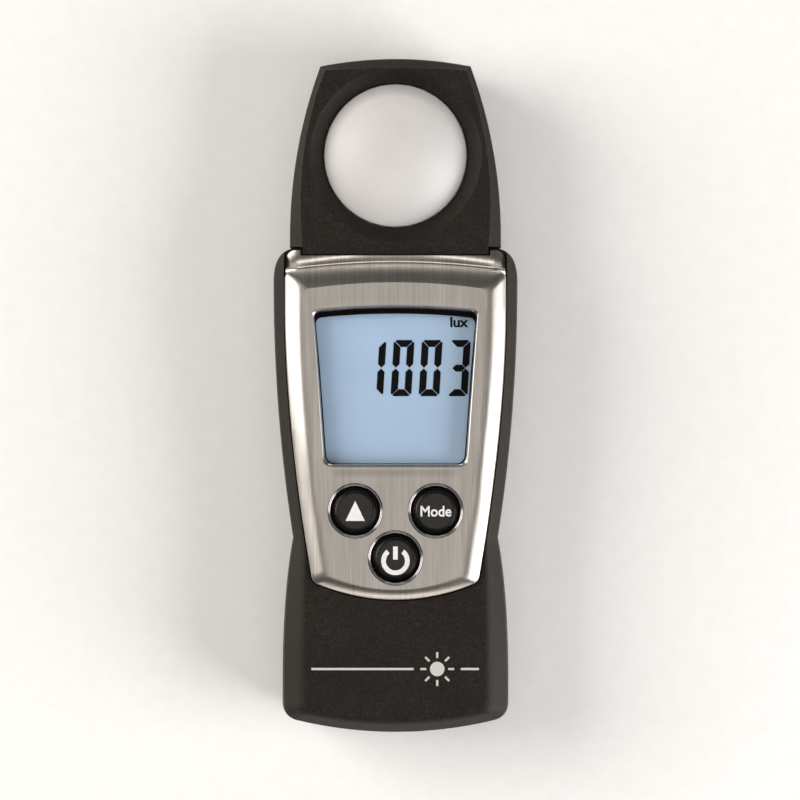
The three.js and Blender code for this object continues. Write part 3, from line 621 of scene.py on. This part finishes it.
def rearShell():
    tray = {"half": 10.9, "side": 1.0, "end": 1.2, "low": -57.6, "high": -7.2,
            "foot": 1, "ceiling": 12.9, "top": 13.8}
    seat = {"half": 12.2, "end": -4.4, "top": 2.15, "groove": 12.85, "grooveZ": (0.9, 1.75)}
    headProfile = trace((1.0, meter["headBackZ"]), [
        ((0.45, meter["headBackZ"]), (0.3, 3.8)),
        ((0, 5), (0, 7)),
        (None, (0, partingLow - meter["partingRise"])),
        (None, (meter["partingInset"], partingLow)),
    ], 4)
    shell = combine(rearOuter(), "UNION", rounded(headProfile, headSilhouette, headFace))
    wall = meter["wall"]
    bodyHollow = prism(inset(between(silhouette, backFace, 0.3), wall), 2.4, 12)
    headHollow = prism(inset(headFace, 0.6), meter["headBackZ"] + wall, 12)
    combine(shell, "DIFFERENCE", bodyHollow, headHollow, block((-14, 20, 5), (14, 33, 18)))
    half, outer = tray["half"], tray["half"] + tray["side"]
    combine(shell, "UNION", block((-outer, tray["low"] - tray["end"], tray["foot"]),
                                  (outer, tray["high"] + tray["end"], tray["top"])))
    rearPosts(shell)
    inside = block((-half, tray["low"], belowAll), (half, tray["high"], tray["ceiling"]))
    coverSeat = block((-seat["half"], pastEnd, belowAll), (seat["half"], seat["end"], seat["top"]))
    low, high = seat["grooveZ"]
    grooves = block((-seat["groove"], pastEnd, low), (seat["groove"], seat["end"], high))
    labelRecess = block((-13.2, 1.8, belowAll), (13.2, 18.2, 0.3))
    combine(shell, "DIFFERENCE", inside, coverSeat, grooves, labelRecess)
    rearScrewHoles(shell)
    corner = block((14.5, -59.5, 1.5), (20.6, -50.5, 6.5))
    combine(corner, "INTERSECT", rearOuter())
    combine(shell, "UNION", corner)
    combine(shell, "DIFFERENCE", strapTunnel())
    finish(shell, "rear_shell_moulding", "black_abs", "meter_body", ["rear_shell"], crease=16)


def headCover():
    head = {"edgeY": 27.9, "lip": (17.4, 26.5, 29), "tongue": (16.5, 22.6, 28.5), "tongueZ": 18.4,
            "insideY": 24.4, "ceiling": 18.2, "collar": 17.3, "collarZ": (16.9, 18.5)}
    profile = trace((meter["partingInset"], partingHigh), [
        (None, (0, partingHigh + meter["partingRise"])),
        (None, (0, 17.9)),
        ((0, 18.4), (0.1, 18.7)),
        (None, (0.95, 19.86)),
        ((1.0, 20.0), (1.07, 20.0)),
    ], 4)
    cover = rounded(profile, headSilhouette, headFace)
    lip = rounded(profile, headSilhouette, headFace)
    half, low, high = head["lip"]
    combine(lip, "INTERSECT", block((-half, low, partingHigh), (half, high, aboveAll)))
    combine(cover, "INTERSECT", block((-30, head["edgeY"], 0), (30, 70, aboveAll)))
    half, low, high = head["tongue"]
    combine(cover, "UNION", lip, block((-half, low, partingHigh), (half, high, head["tongueZ"])))
    hollow = prism(inset(headFace, 0.6), 10, head["ceiling"])
    combine(hollow, "INTERSECT", block((-30, head["insideY"], 0), (30, 70, aboveAll)))
    combine(cover, "DIFFERENCE", hollow, block((-14.5, 22, 10), (14.5, 30, 17)))
    combine(cover, "UNION", post(0, domeY, head["collar"], *head["collarZ"], 96))
    funnel = trace((0, 15), [
        (None, (13.6, 15)),
        (None, (13.6, 17.9)),
        (None, (15.95, 19.88)),
        ((16.1, 20.02), (16.4, 20.02)),
        (None, (16.5, 22)),
        (None, (0, 22)),
    ], 4)
    combine(cover, "DIFFERENCE", turned(funnel, (0, domeY), 96))
    finish(cover, "head_cover_moulding", "black_abs", "meter_body", ["sensor_head_cover"], crease=16)


bezel = {
    "seatZ": 20.9, "underZ": 22.45, "edgeZ": 22.2, "faceZ": 23.58, "step": 0.36,
    "stepFoot": -15.7, "stepHead": -12.9, "stepCuts": 36, "stepSpread": 7.0,
    "stepSides": (11.0, 16.0), "wallZ": 22.6, "keyHole": 5.12,
}


def smooth(low, high, value):
    share = min(1.0, max(0.0, (value - low) / (high - low)))
    return share * share * (3 - 2 * share)


def stepUp(plate):  # the face steps up below the display, and more gently towards its sides
    foot, head, spread = bezel["stepFoot"], bezel["stepHead"], bezel["stepSpread"]
    mesh = bmesh.new()
    mesh.from_mesh(plate.data)
    for cut in range(bezel["stepCuts"] + 1):
        share = cut / bezel["stepCuts"]
        place = Vector((0, foot - spread + (head - foot + 2 * spread) * share, 0)) * mm
        everything = mesh.verts[:] + mesh.edges[:] + mesh.faces[:]
        bmesh.ops.bisect_plane(mesh, geom=everything, dist=1e-7, plane_co=place, plane_no=(0, 1, 0))
    for vertex in mesh.verts:
        x, y, z = vertex.co / mm
        out = spread * smooth(*bezel["stepSides"], abs(x))
        height = min(1.0, max(0.0, (z - bezel["edgeZ"]) / (bezel["faceZ"] - bezel["edgeZ"])))
        vertex.co.z += bezel["step"] * smooth(foot - out, head + out, y) * height * mm
    mesh.to_mesh(plate.data)
    mesh.free()


def bezelPlate():
    under = inset(bezelEdge, 1.5)
    levels = [(under, bezel["seatZ"]), (bezelEdge, bezel["seatZ"])]
    bevel = trace((0, -0.3), [((0, 0), (0.08, 0.14)), ((0.55, 0.78), (1.0, 1.0))], 5)
    for share, climb in bevel:
        full = 0.94 * climb if climb > 0 else climb  # the bevel stops short of the face
        height = bezel["edgeZ"] + full * (bezel["faceZ"] - bezel["edgeZ"])
        levels.append((between(bezelEdge, bezelRidge, share), height))
    widest = windowOutline(1.3, 3.4, 4.1)
    for share in (0, 0.15, 0.3, 0.45, 0.6, 0.8):
        levels.append((between(bezelFace, widest, share), bezel["faceZ"]))
    for margin in (3.4, 2.9, 2.4, 1.9, 1.4, 1.0, 0.6):
        levels.append((windowOutline(margin * 0.38, margin, margin * 1.2), bezel["faceZ"]))
    for margin, drop in ((0.3, 0.03), (0.12, 0.1), (0.0, 0.22), (-0.08, 0.45)):
        levels.append((windowOutline(margin), bezel["faceZ"] - drop))
    wall = windowOutline(-0.15, -0.1, -0.3)
    levels += [(wall, bezel["wallZ"]), (wall, bezel["underZ"]), (under, bezel["underZ"])]
    plate = loft(levels, loop=True)
    stepUp(plate)
    combine(plate, "UNION", bezelCollar())
    hole, wide = bezel["keyHole"], bezel["keyHole"] + 0.06
    profile = [(0, 18), (hole, 18), (hole, 23.45), (wide, 23.6), (wide, aboveAll), (0, aboveAll)]
    for centre in keyCentres.values():
        combine(plate, "DIFFERENCE", turned(profile, centre, 96))
    finish(plate, "bezel_brushed_plate", "satin_nickel", "meter_body", ["bezel_plate"], crease=24)


def bezelCollar():  # a rounded crest along the bezel's top edge, sloping to the head, and two ears
    collar = {"half": 20.5, "steps": 96, "crestY": 24.7, "crestZ": 22.42, "bow": 1.25, "bowHalf": 19.4,
              "earX": 17.6, "earFall": 0.14, "footY": 27.3, "footZ": 18.95, "backY": 22.0, "backZ": 20.9}
    sections = []
    for step in range(collar["steps"] + 1):
        x = collar["half"] * (2 * step / collar["steps"] - 1)
        crest = collar["crestY"] - collar["bow"] * (x / collar["bowHalf"]) ** 2
        drop = collar["earFall"] * max(0.0, abs(x) - collar["earX"]) ** 2
        slope = trace((crest - 1.2, 21.7), [
            ((crest - 0.7, collar["crestZ"]), (crest, collar["crestZ"])),
            ((crest + 0.35, 22.36), (crest + 0.6, 21.95)),
            ((crest + 1.4, 20.5), (collar["footY"], 19.9)),
        ], 5)
        outline = [(collar["backY"], collar["footZ"]), (collar["footY"], collar["footZ"])]
        outline += [(y, z - drop) for y, z in slope[::-1]] + [(collar["backY"], collar["backZ"])]
        sections.append([(x, y, z) for y, z in outline])
    ears = prism(mirrored(trace((0, 20), [
        (None, (20.55, 20)), (None, (20.55, 25)), ((20.5, 26.9), (19.0, 27.25)), (None, (0, 27.25)),
    ], 6)), 18, 23)
    made = combine(skin(sections), "INTERSECT", ears)
    return combine(made, "DIFFERENCE", block((-17.75, 26.25, 18), (17.75, 30, aboveAll)))


def displayMask():  # black print round the display window; deepest along its top edge, where the extra width is painted shadow of the window's top wall
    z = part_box("display_window")[1].z / mm
    mask = prism(windowOutline(1.0, 1.0, 1.0), z, z + maskThick)
    # the inner edge reaches 1.25 mm in along the top, against 0.35 at the sides and 0.2 below: that top
    # band is painted shadow
    combine(mask, "DIFFERENCE", prism(windowOutline(-0.35, -0.2, -1.25), z - 1, z + 1))
    finish(mask, "display_mask_print", "component_black", "meter_body", material=darkInkAndShadow)


frontShell()
rearShell()
headCover()
bezelPlate()
displayMask()
print("mouldings and bezel made")


def diffuserDome():
    dome = {"radius": 13.35, "rise": 5.4, "baseZ": 17.9, "wall": 1.4, "crown": 1.5, "steps": 20,
            "flange": 15, "flangeZ": (15.2, 16.1)}
    radius, rise = dome["radius"], dome["rise"]
    sphere = (radius ** 2 + rise ** 2) / (2 * rise)
    middleZ = dome["baseZ"] + rise - sphere

    def arc(outer, drop):  # from the top of the dome outwards
        radii = [outer * i / dome["steps"] for i in range(dome["steps"] + 1)]
        return [(r, middleZ - drop + math.sqrt(sphere ** 2 - r ** 2)) for r in radii]

    low, high = dome["flangeZ"]
    inside = radius - dome["wall"]
    profile = arc(inside, dome["crown"]) + [(inside, low), (dome["flange"], low)]
    profile += [(dome["flange"], high), (radius, high), (radius, 17.6), (radius - 0.02, 17.8)]
    profile += arc(radius - 0.1, 0)[::-1]
    shell = turned(profile, (0, domeY), 96)
    finish(shell, "opal_diffuser", "opal", "meter_body", ["diffuser_dome"], crease=40)


diffuserDome()


def keyCap(name):
    cap = {"stem": 1.6, "stemZ": 16.7, "flange": 4.9, "flangeZ": (18, 19.2), "shoulderZ": 22.55,
           "dishZ": 23.12}
    low, high = cap["flangeZ"]
    profile = [(0, cap["stemZ"]), (cap["stem"], cap["stemZ"]), (cap["stem"], low), (cap["flange"], low)]
    profile += [(cap["flange"], high), (keyRadius, high)]
    profile += trace((keyRadius, cap["shoulderZ"]), [
        ((keyRadius, 22.85), (3.8, 22.98)),
        ((3.4, 23.2), (2.9, 23.18)),
    ], 4)
    profile += [(1.4, 23.13), (0, cap["dishZ"])]
    made = turned(profile, keyCentres[name], 72)
    finish(made, f"{name}_key_cap", "key_gloss", f"{name}_button", [f"{name}_button"], crease=40)


def flatMark(outline, z):  # printed ink, as a thin solid
    return prism(outline, z, z + markThick)


def lettering(text, centre, size, z, offset=0.0):  # size is the width and the height, in millimetres
    curve = bpy.data.curves.new(text, "FONT")
    curve.body = text
    curve.offset = offset
    curve.extrude = markThick / 2
    curve.resolution_u = 4
    drawn = bpy.data.objects.new(text, curve)
    bpy.context.scene.collection.objects.link(drawn)
    graph = bpy.context.evaluated_depsgraph_get()
    mesh = bpy.data.meshes.new_from_object(drawn.evaluated_get(graph))
    bpy.data.objects.remove(drawn)
    for axis in (0, 1):
        spots = [v.co[axis] for v in mesh.vertices]
        low, high = min(spots), max(spots)
        for v in mesh.vertices:
            v.co[axis] = (centre[axis] + (v.co[axis] - (low + high) / 2) * size[axis] / (high - low)) * mm
    for v in mesh.vertices:
        v.co.z = (z + (markThick if v.co.z > 0 else 0)) * mm
    made = bpy.data.objects.new(text, mesh)
    bpy.context.scene.collection.objects.link(made)
    weld = bmesh.new()
    weld.from_mesh(mesh)
    bmesh.ops.remove_doubles(weld, verts=weld.verts, dist=1e-7)
    weld.to_mesh(mesh)
    weld.free()
    return made


def keyMarks():
    marks = {"z": 23.15, "wordSize": (5.75, 2.0), "outer": 2.66, "inner": 1.78,
             "gap": math.radians(38), "steps": 48, "sink": 0.55, "bar": 0.44, "barY": (-0.3, 2.15)}
    top = marks["z"]
    x, y = keyCentres["up"]
    arrow = flatMark([(x - 1.8, y - 1.9), (x + 1.8, y - 1.9), (x, y + 1.85)], top)
    finish(arrow, "up_key_mark", "white_plastic", "up_button", material=whiteInk)
    x, y = keyCentres["mode"]
    word = lettering("Mode", (x + 0.05, y - 0.1), marks["wordSize"], top, offset=0.02)
    finish(word, "mode_key_mark", "white_plastic", "mode_button", material=whiteInk)
    x, y = keyCentres["power"]
    start, sweep = math.pi / 2 + marks["gap"], 2 * math.pi - 2 * marks["gap"]
    angles = [start + sweep * i / marks["steps"] for i in range(marks["steps"] + 1)]
    arc = []
    for radius, turns in ((marks["outer"], angles), (marks["inner"], angles[::-1])):
        arc += [(x + radius * math.cos(a), y - marks["sink"] + radius * math.sin(a)) for a in turns]
    (low, high), half = marks["barY"], marks["bar"]
    bar = [(x - half, y + low), (x + half, y + low), (x + half, y + high), (x - half, y + high)]
    sign = combine(flatMark(arc, top), "UNION", flatMark(bar, top))
    finish(sign, "power_key_mark", "white_plastic", "power_button", material=whiteInk)


for keyName in keyNames:
    keyCap(keyName)
keyMarks()


def newTree(name, inputs):  # a Geometry Nodes tree with these inputs, and the sockets they arrive at
    tree = bpy.data.node_groups.new(name, "GeometryNodeTree")
    for label, kind in inputs:
        tree.interface.new_socket(name=label, in_out="INPUT", socket_type="NodeSocket" + kind)
    tree.interface.new_socket(name="Geometry", in_out="OUTPUT", socket_type="NodeSocketGeometry")
    return tree, addNode(tree, "NodeGroupInput").outputs


def closeTree(tree, geometry, finishSocket):
    real = addNode(tree, "GeometryNodeRealizeInstances", {"Geometry": geometry})
    inputs = {"Geometry": real.outputs[0], "Material": finishSocket}
    painted = addNode(tree, "GeometryNodeSetMaterial", inputs)
    addNode(tree, "NodeGroupOutput", {"Geometry": painted.outputs[0]})
    return tree


def grow(piece, tree, **values):  # runs a tree on a piece, and keeps the plain mesh that comes out
    modifier = piece.modifiers.new(tree.name, "NODES")
    modifier.node_group = tree
    for item in tree.interface.items_tree:
        if item.in_out == "INPUT" and item.name in values:
            modifier[item.identifier] = values[item.name]
    return settle(piece)


def copiesOnPoints():
    tree, given = newTree("copies_on_points", [
        ("Points", "Geometry"), ("Copy", "Object"), ("Finish", "Material"),
    ])
    source = addNode(tree, "GeometryNodeObjectInfo", {"Object": given["Copy"]})
    inputs = {"Points": given["Points"], "Instance": source.outputs["Geometry"]}
    placed = addNode(tree, "GeometryNodeInstanceOnPoints", inputs)
    return closeTree(tree, placed.outputs[0], given["Finish"])


def rowOfCopies():  # the base only carries the modifier, and doesn't stay in the result
    tree, given = newTree("row_of_copies", [
        ("Base", "Geometry"), ("Copy", "Object"), ("Count", "Int"), ("Start", "Vector"),
        ("Step", "Vector"), ("Finish", "Material"),
    ])
    row = {"Count": given["Count"], "Start Location": given["Start"], "Offset": given["Step"]}
    line = addNode(tree, "GeometryNodeMeshLine", row)
    source = addNode(tree, "GeometryNodeObjectInfo", {"Object": given["Copy"]})
    inputs = {"Points": line.outputs[0], "Instance": source.outputs["Geometry"]}
    placed = addNode(tree, "GeometryNodeInstanceOnPoints", inputs)
    return closeTree(tree, placed.outputs[0], given["Finish"])


def wheelOfCopies():  # copies that face out from a centre
    tree, given = newTree("wheel_of_copies", [
        ("Base", "Geometry"), ("Copy", "Object"), ("Count", "Int"), ("Radius", "Float"),
        ("Centre", "Vector"), ("Finish", "Material"),
    ])
    wheel = {"Vertices": given["Count"], "Radius": given["Radius"]}
    circle = addNode(tree, "GeometryNodeMeshCircle", wheel)
    spot = addNode(tree, "GeometryNodeInputPosition")
    facing = addNode(tree, "FunctionNodeAlignRotationToVector", {"Vector": spot.outputs[0]}, axis="X")
    source = addNode(tree, "GeometryNodeObjectInfo", {"Object": given["Copy"]})
    placed = addNode(tree, "GeometryNodeInstanceOnPoints", {
        "Points": circle.outputs[0], "Instance": source.outputs["Geometry"], "Rotation": facing.outputs[0],
    })
    place = {"Geometry": placed.outputs[0], "Translation": given["Centre"]}
    moved = addNode(tree, "GeometryNodeTransform", place)
    return closeTree(tree, moved.outputs[0], given["Finish"])


copiesTree, rowTree, wheelTree = copiesOnPoints(), rowOfCopies(), wheelOfCopies()


def ratingLabel():  # a silver film with round corners, and a printed frame with blank ruled lines
    label = {"corner": 1.5, "margin": 1.0, "ruleMargin": 2.6, "line": 0.22, "ink": 0.02, "rules": 4}
    low, high = [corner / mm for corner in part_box("rating_label")]
    r = label["corner"]
    outline = trace((low.x + r, low.y), [
        (None, (high.x - r, low.y)), ((high.x, low.y), (high.x, low.y + r)),
        (None, (high.x, high.y - r)), ((high.x, high.y), (high.x - r, high.y)),
        (None, (low.x + r, high.y)), ((low.x, high.y), (low.x, high.y - r)),
        (None, (low.x, low.y + r)), ((low.x, low.y), (low.x + r, low.y)),
    ], 5)[:-1]
    finish(prism(outline, low.z, high.z), "rating_label_film", "label", "meter_body", ["rating_label"])
    frameLine = prism(inset(outline, label["margin"]), low.z - label["ink"], low.z)
    combine(frameLine, "DIFFERENCE", prism(inset(outline, label["margin"] + label["line"]), -1, 1))
    half, width = high.x - label["ruleMargin"], label["line"] / 2
    rule = block((-half, -width, low.z - label["ink"]), (half, width, low.z))
    spacing = (high.y - low.y) / (label["rules"] + 1)
    rules = makeObject("rules", [(0, 0, 0)], [])
    grow(rules, rowTree, Copy=rule, Count=label["rules"], Start=Vector((0, low.y + spacing, 0)) * mm,
         Step=Vector((0, spacing, 0)) * mm, Finish=darkInkAndShadow)
    bpy.data.objects.remove(rule)
    combine(frameLine, "UNION", rules)
    finish(frameLine, "rating_label_print", "component_black", "meter_body", material=darkInkAndShadow)


ratingLabel()


def keyRings():
    loop = {"outer": 5.1, "inner": 4.25, "footZ": 20.9, "shoulderZ": 23.7, "topZ": 23.98}
    outer, inner, top = loop["outer"], loop["inner"], loop["topZ"]
    rim = trace((outer, loop["shoulderZ"]), [((outer, top), (4.88, top)), ((4.72, top), (4.62, 23.75))], 4)
    profile = [(inner, loop["footZ"]), (outer, loop["footZ"])] + rim + [(4.3, 22.9), (inner, 22.7)]
    pattern = turned(profile, sides=80)
    rings = makeObject("rings", [(x, y, 0) for x, y in keyCentres.values()], [])
    grow(rings, copiesTree, Copy=pattern, Finish=finishes["dark_chrome"])
    bpy.data.objects.remove(pattern)
    replaced = [name + "_button_ring" for name in keyNames]
    finish(rings, "key_rings", "dark_chrome", "meter_body", replaced, crease=35)


def caseScrews():
    screw = {"head": 2.0, "shank": 1.1, "neckZ": 3.0, "tipZ": 15.5, "cross": (1.25, 0.25), "crossZ": 2.4}
    head, shank, tip = screw["head"], screw["shank"], screw["tipZ"]
    crown = trace((0, 1.62), [((1.2, 1.58), (1.75, 1.78)), ((head - 0.02, 1.9), (head, 2.2))], 4)
    profile = crown + [(head, screw["neckZ"]), (shank, screw["neckZ"]), (shank, tip - 0.8)]
    profile += [(0.3, tip - 0.05), (0, tip)]
    pattern = turned(profile, sides=40)
    long, short = screw["cross"]
    for x, y in ((long, short), (short, long)):
        combine(pattern, "DIFFERENCE", block((-x, -y, 1), (x, y, screw["crossZ"])))
    screws = makeObject("screws", [(x, y, 0) for x, y in screwSpots], [])
    grow(screws, copiesTree, Copy=pattern, Finish=finishes["screw_steel"])
    bpy.data.objects.remove(pattern)
    replaced = [f"case_screw_{number}" for number in (1, 2, 3, 4)]
    finish(screws, "case_screws", "screw_steel", "meter_body", replaced, crease=35)


keyRings()
caseScrews()
print("keys, rings and screws made")


digits = {"height": 10.5, "width": 3.85, "stroke": 1.3, "gap": 0.08, "corner": 0.5, "pitch": 5.25,
          "slant": 0.06, "right": 13.75, "middleY": 5.2, "z": 20.8, "thick": 0.05}
segmentsOf = {"0": "abcdef", "1": "bc", "3": "abcdg"}


def segmentOutline(letter):  # one bar about its digit's centre, with its ends cut on the slant
    w, h, s, g = digits["width"] / 2, digits["height"] / 2, digits["stroke"], digits["gap"]
    c = digits["corner"]
    upper = [(w, h - c), (w - c / 2, h - c / 2 - g), (w - s, h - s - g), (w - s, s / 2 + g),
             (w - s / 2, g), (w, s / 2 + g)]
    across = [(-w + c, h), (w - c, h), (w - c / 2 - g, h - c / 2), (w - s - g, h - s),
              (-w + s + g, h - s), (-w + c / 2 + g, h - c / 2)]
    waist = [(-w + s / 2 + g, 0), (-w + s + g, s / 2), (w - s - g, s / 2), (w - s / 2 - g, 0),
             (w - s - g, -s / 2), (-w + s + g, -s / 2)]
    shape = {"a": across, "d": [(x, -y) for x, y in across], "g": waist,
             "b": upper, "c": [(x, -y) for x, y in upper],
             "f": [(-x, y) for x, y in upper], "e": [(-x, -y) for x, y in upper]}[letter]
    turnedLeft = sum(a[0] * b[1] - b[0] * a[1] for a, b in zip(shape, shape[1:] + shape[:1])) > 0
    return shape if turnedLeft else shape[::-1]


def reading(text):
    vertices, faces = [], []
    for place, digit in enumerate(reversed(text)):
        centreX = digits["right"] - digits["width"] / 2 - place * digits["pitch"]
        for letter in segmentsOf[digit]:
            outline = [(centreX + x + y * digits["slant"], digits["middleY"] + y)
                       for x, y in segmentOutline(letter)]
            count, first = len(outline), len(vertices)
            for z in (digits["z"], digits["z"] + digits["thick"]):
                vertices += raised(outline, z)
            faces.append(tuple(range(first + count - 1, first - 1, -1)))
            faces.append(tuple(range(first + count, first + 2 * count)))
            for i in range(count):
                j = (i + 1) % count
                faces.append((first + i, first + j, first + count + j, first + count + i))
    finish(makeObject("reading", vertices, faces), "lcd_reading", "component_black", "meter_body",
           material=darkInkAndShadow)


reading("1003")
unit = lettering("lux", (11.95, 13.8), (3.4, 1.95), digits["z"], offset=0.03)
finish(unit, "lcd_unit", "component_black", "meter_body", material=darkInkAndShadow)


def frontPrint():  # two short lines and a sun between them, in one print
    mark = {"y": -51.0, "thick": 0.42, "runs": ((-15.7, 3.4), (12.2, 15.6)), "sunX": 7.8,
            "disc": 1.35, "rays": 8, "rayRadius": 2.6, "rayHalf": (0.55, 0.2)}
    top = meter["faceZ"]
    low, high = mark["y"] - mark["thick"] / 2, mark["y"] + mark["thick"] / 2
    lines = [flatMark([(start, low), (end, low), (end, high), (start, high)], top)
             for start, end in mark["runs"]]
    disc = flatMark(ring((mark["sunX"], mark["y"]), mark["disc"], 48), top)
    along, across = mark["rayHalf"]
    ray = flatMark([(-along, -across), (along, -across), (along, across), (-along, across)], top)
    rays = makeObject("rays", [(0, 0, 0)], [])
    centre = Vector((mark["sunX"], mark["y"], 0)) * mm
    grow(rays, wheelTree, Copy=ray, Count=mark["rays"], Radius=mark["rayRadius"] * mm, Centre=centre,
         Finish=greyInk)
    bpy.data.objects.remove(ray)
    combine(rays, "UNION", disc, *lines)
    finish(rays, "front_print", "white_plastic", "meter_body", material=greyInk)


frontPrint()


def batteryCover():
    cover = {"half": 12.0, "high": -4.6, "backZ": 0.3, "insideZ": 1.9, "tongueHalf": 12.65,
             "tongueLow": -56, "tongueZ": (1.05, 1.6), "gap": 0.02, "recess": (7.2, -24.5, -9.5),
             "recessZ": 0.62}
    half = cover["half"]
    plate = block((-half, pastEnd, cover["backZ"]), (half, cover["high"], cover["insideZ"]))
    half, (low, high) = cover["tongueHalf"], cover["tongueZ"]
    combine(plate, "UNION", block((-half, cover["tongueLow"], low), (half, cover["high"], high)))
    outside = inset(silhouette, cover["gap"]), inset(backFace, cover["gap"])
    combine(plate, "INTERSECT", rounded(trace((1.0, 0), backRound, 4), *outside))
    half, low, high = cover["recess"]
    combine(plate, "DIFFERENCE", block((-half, low, 0), (half, high, cover["recessZ"])))
    finish(plate, "battery_cover_moulding", "black_abs", "battery_cover", ["battery_cover"], edge=0.12)


def coverRibs():  # for the thumb that slides the cover
    ribs = {"count": 7, "firstY": -21.6, "spacing": 1.8, "half": 6.0, "flat": 5.6, "thick": 0.35,
            "z": (0.3, 0.64)}
    half, flat, thick = ribs["half"], ribs["flat"], ribs["thick"]
    outline = mirrored(trace((0, -thick), [
        (None, (flat, -thick)), ((half, -thick), (half, 0)),
        ((half, thick), (flat, thick)), (None, (0, thick)),
    ], 4))
    rib = prism(outline, *ribs["z"])
    made = makeObject("ribs", [(0, 0, 0)], [])
    grow(made, rowTree, Copy=rib, Count=ribs["count"], Start=Vector((0, ribs["firstY"], 0)) * mm,
         Step=Vector((0, ribs["spacing"], 0)) * mm, Finish=finishes["black_abs"])
    bpy.data.objects.remove(rib)
    finish(made, "battery_cover_grip_ribs", "black_abs", "battery_cover", edge=0.08)


def coverArrow():  # points the way that the cover slides
    chevron = [(-3, -29.5), (0, -32.5), (3, -29.5), (3, -28.3), (0, -31.3), (-3, -28.3)]
    finish(prism(chevron, 0.12, 0.31), "battery_cover_arrow", "black_abs", "battery_cover", edge=0.05)


batteryCover()
coverRibs()
coverArrow()


def cell(node, turn):  # a lathe about Z, laid along the compartment
    can = {"radius": 5.2, "rim": 4.7, "base": 3.2, "sleeve": 0.06, "shoulder": 0.5, "tip": 1.9}
    low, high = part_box(node)
    length, radius, rim, tip = (high.y - low.y) / mm, can["radius"], can["rim"], can["tip"]
    sleeve = radius - can["sleeve"]
    profile = [(0, 0.15), (can["base"], 0.15), (3.4, 0), (rim, 0)]
    profile += trace((rim, 0), [((radius, 0), (radius, 0.5))], 4)[1:]
    profile += [(radius, 1.0), (sleeve, 1.2), (sleeve, length - 2.4), (radius, length - 2.2)]
    profile += trace((radius, length - 1.5), [
        ((radius, length - 0.95), (radius - can["shoulder"], length - 0.9)),
    ], 4)
    profile += [(tip + 0.4, length - 0.95), (tip, length - 0.8), (tip, length - 0.2)]
    profile += [(tip - 0.2, length), (0, length)]
    made = turned(profile, sides=64)
    along = made.data.attributes.new("along", "FLOAT", "POINT")
    for vertex in made.data.vertices:
        along.data[vertex.index].value = vertex.co.z / (length * mm)
        across, deep, height = vertex.co
        vertex.co = (across, turn * (height - length * mm / 2), -turn * deep)
        vertex.co += (low + high) / 2
    made.data.update()
    finish(made, node + "_aaa", "cell_can", "meter_body", [node], crease=35)


cell("cell_left", 1)
cell("cell_right", -1)
print("print, battery cover and cells made")
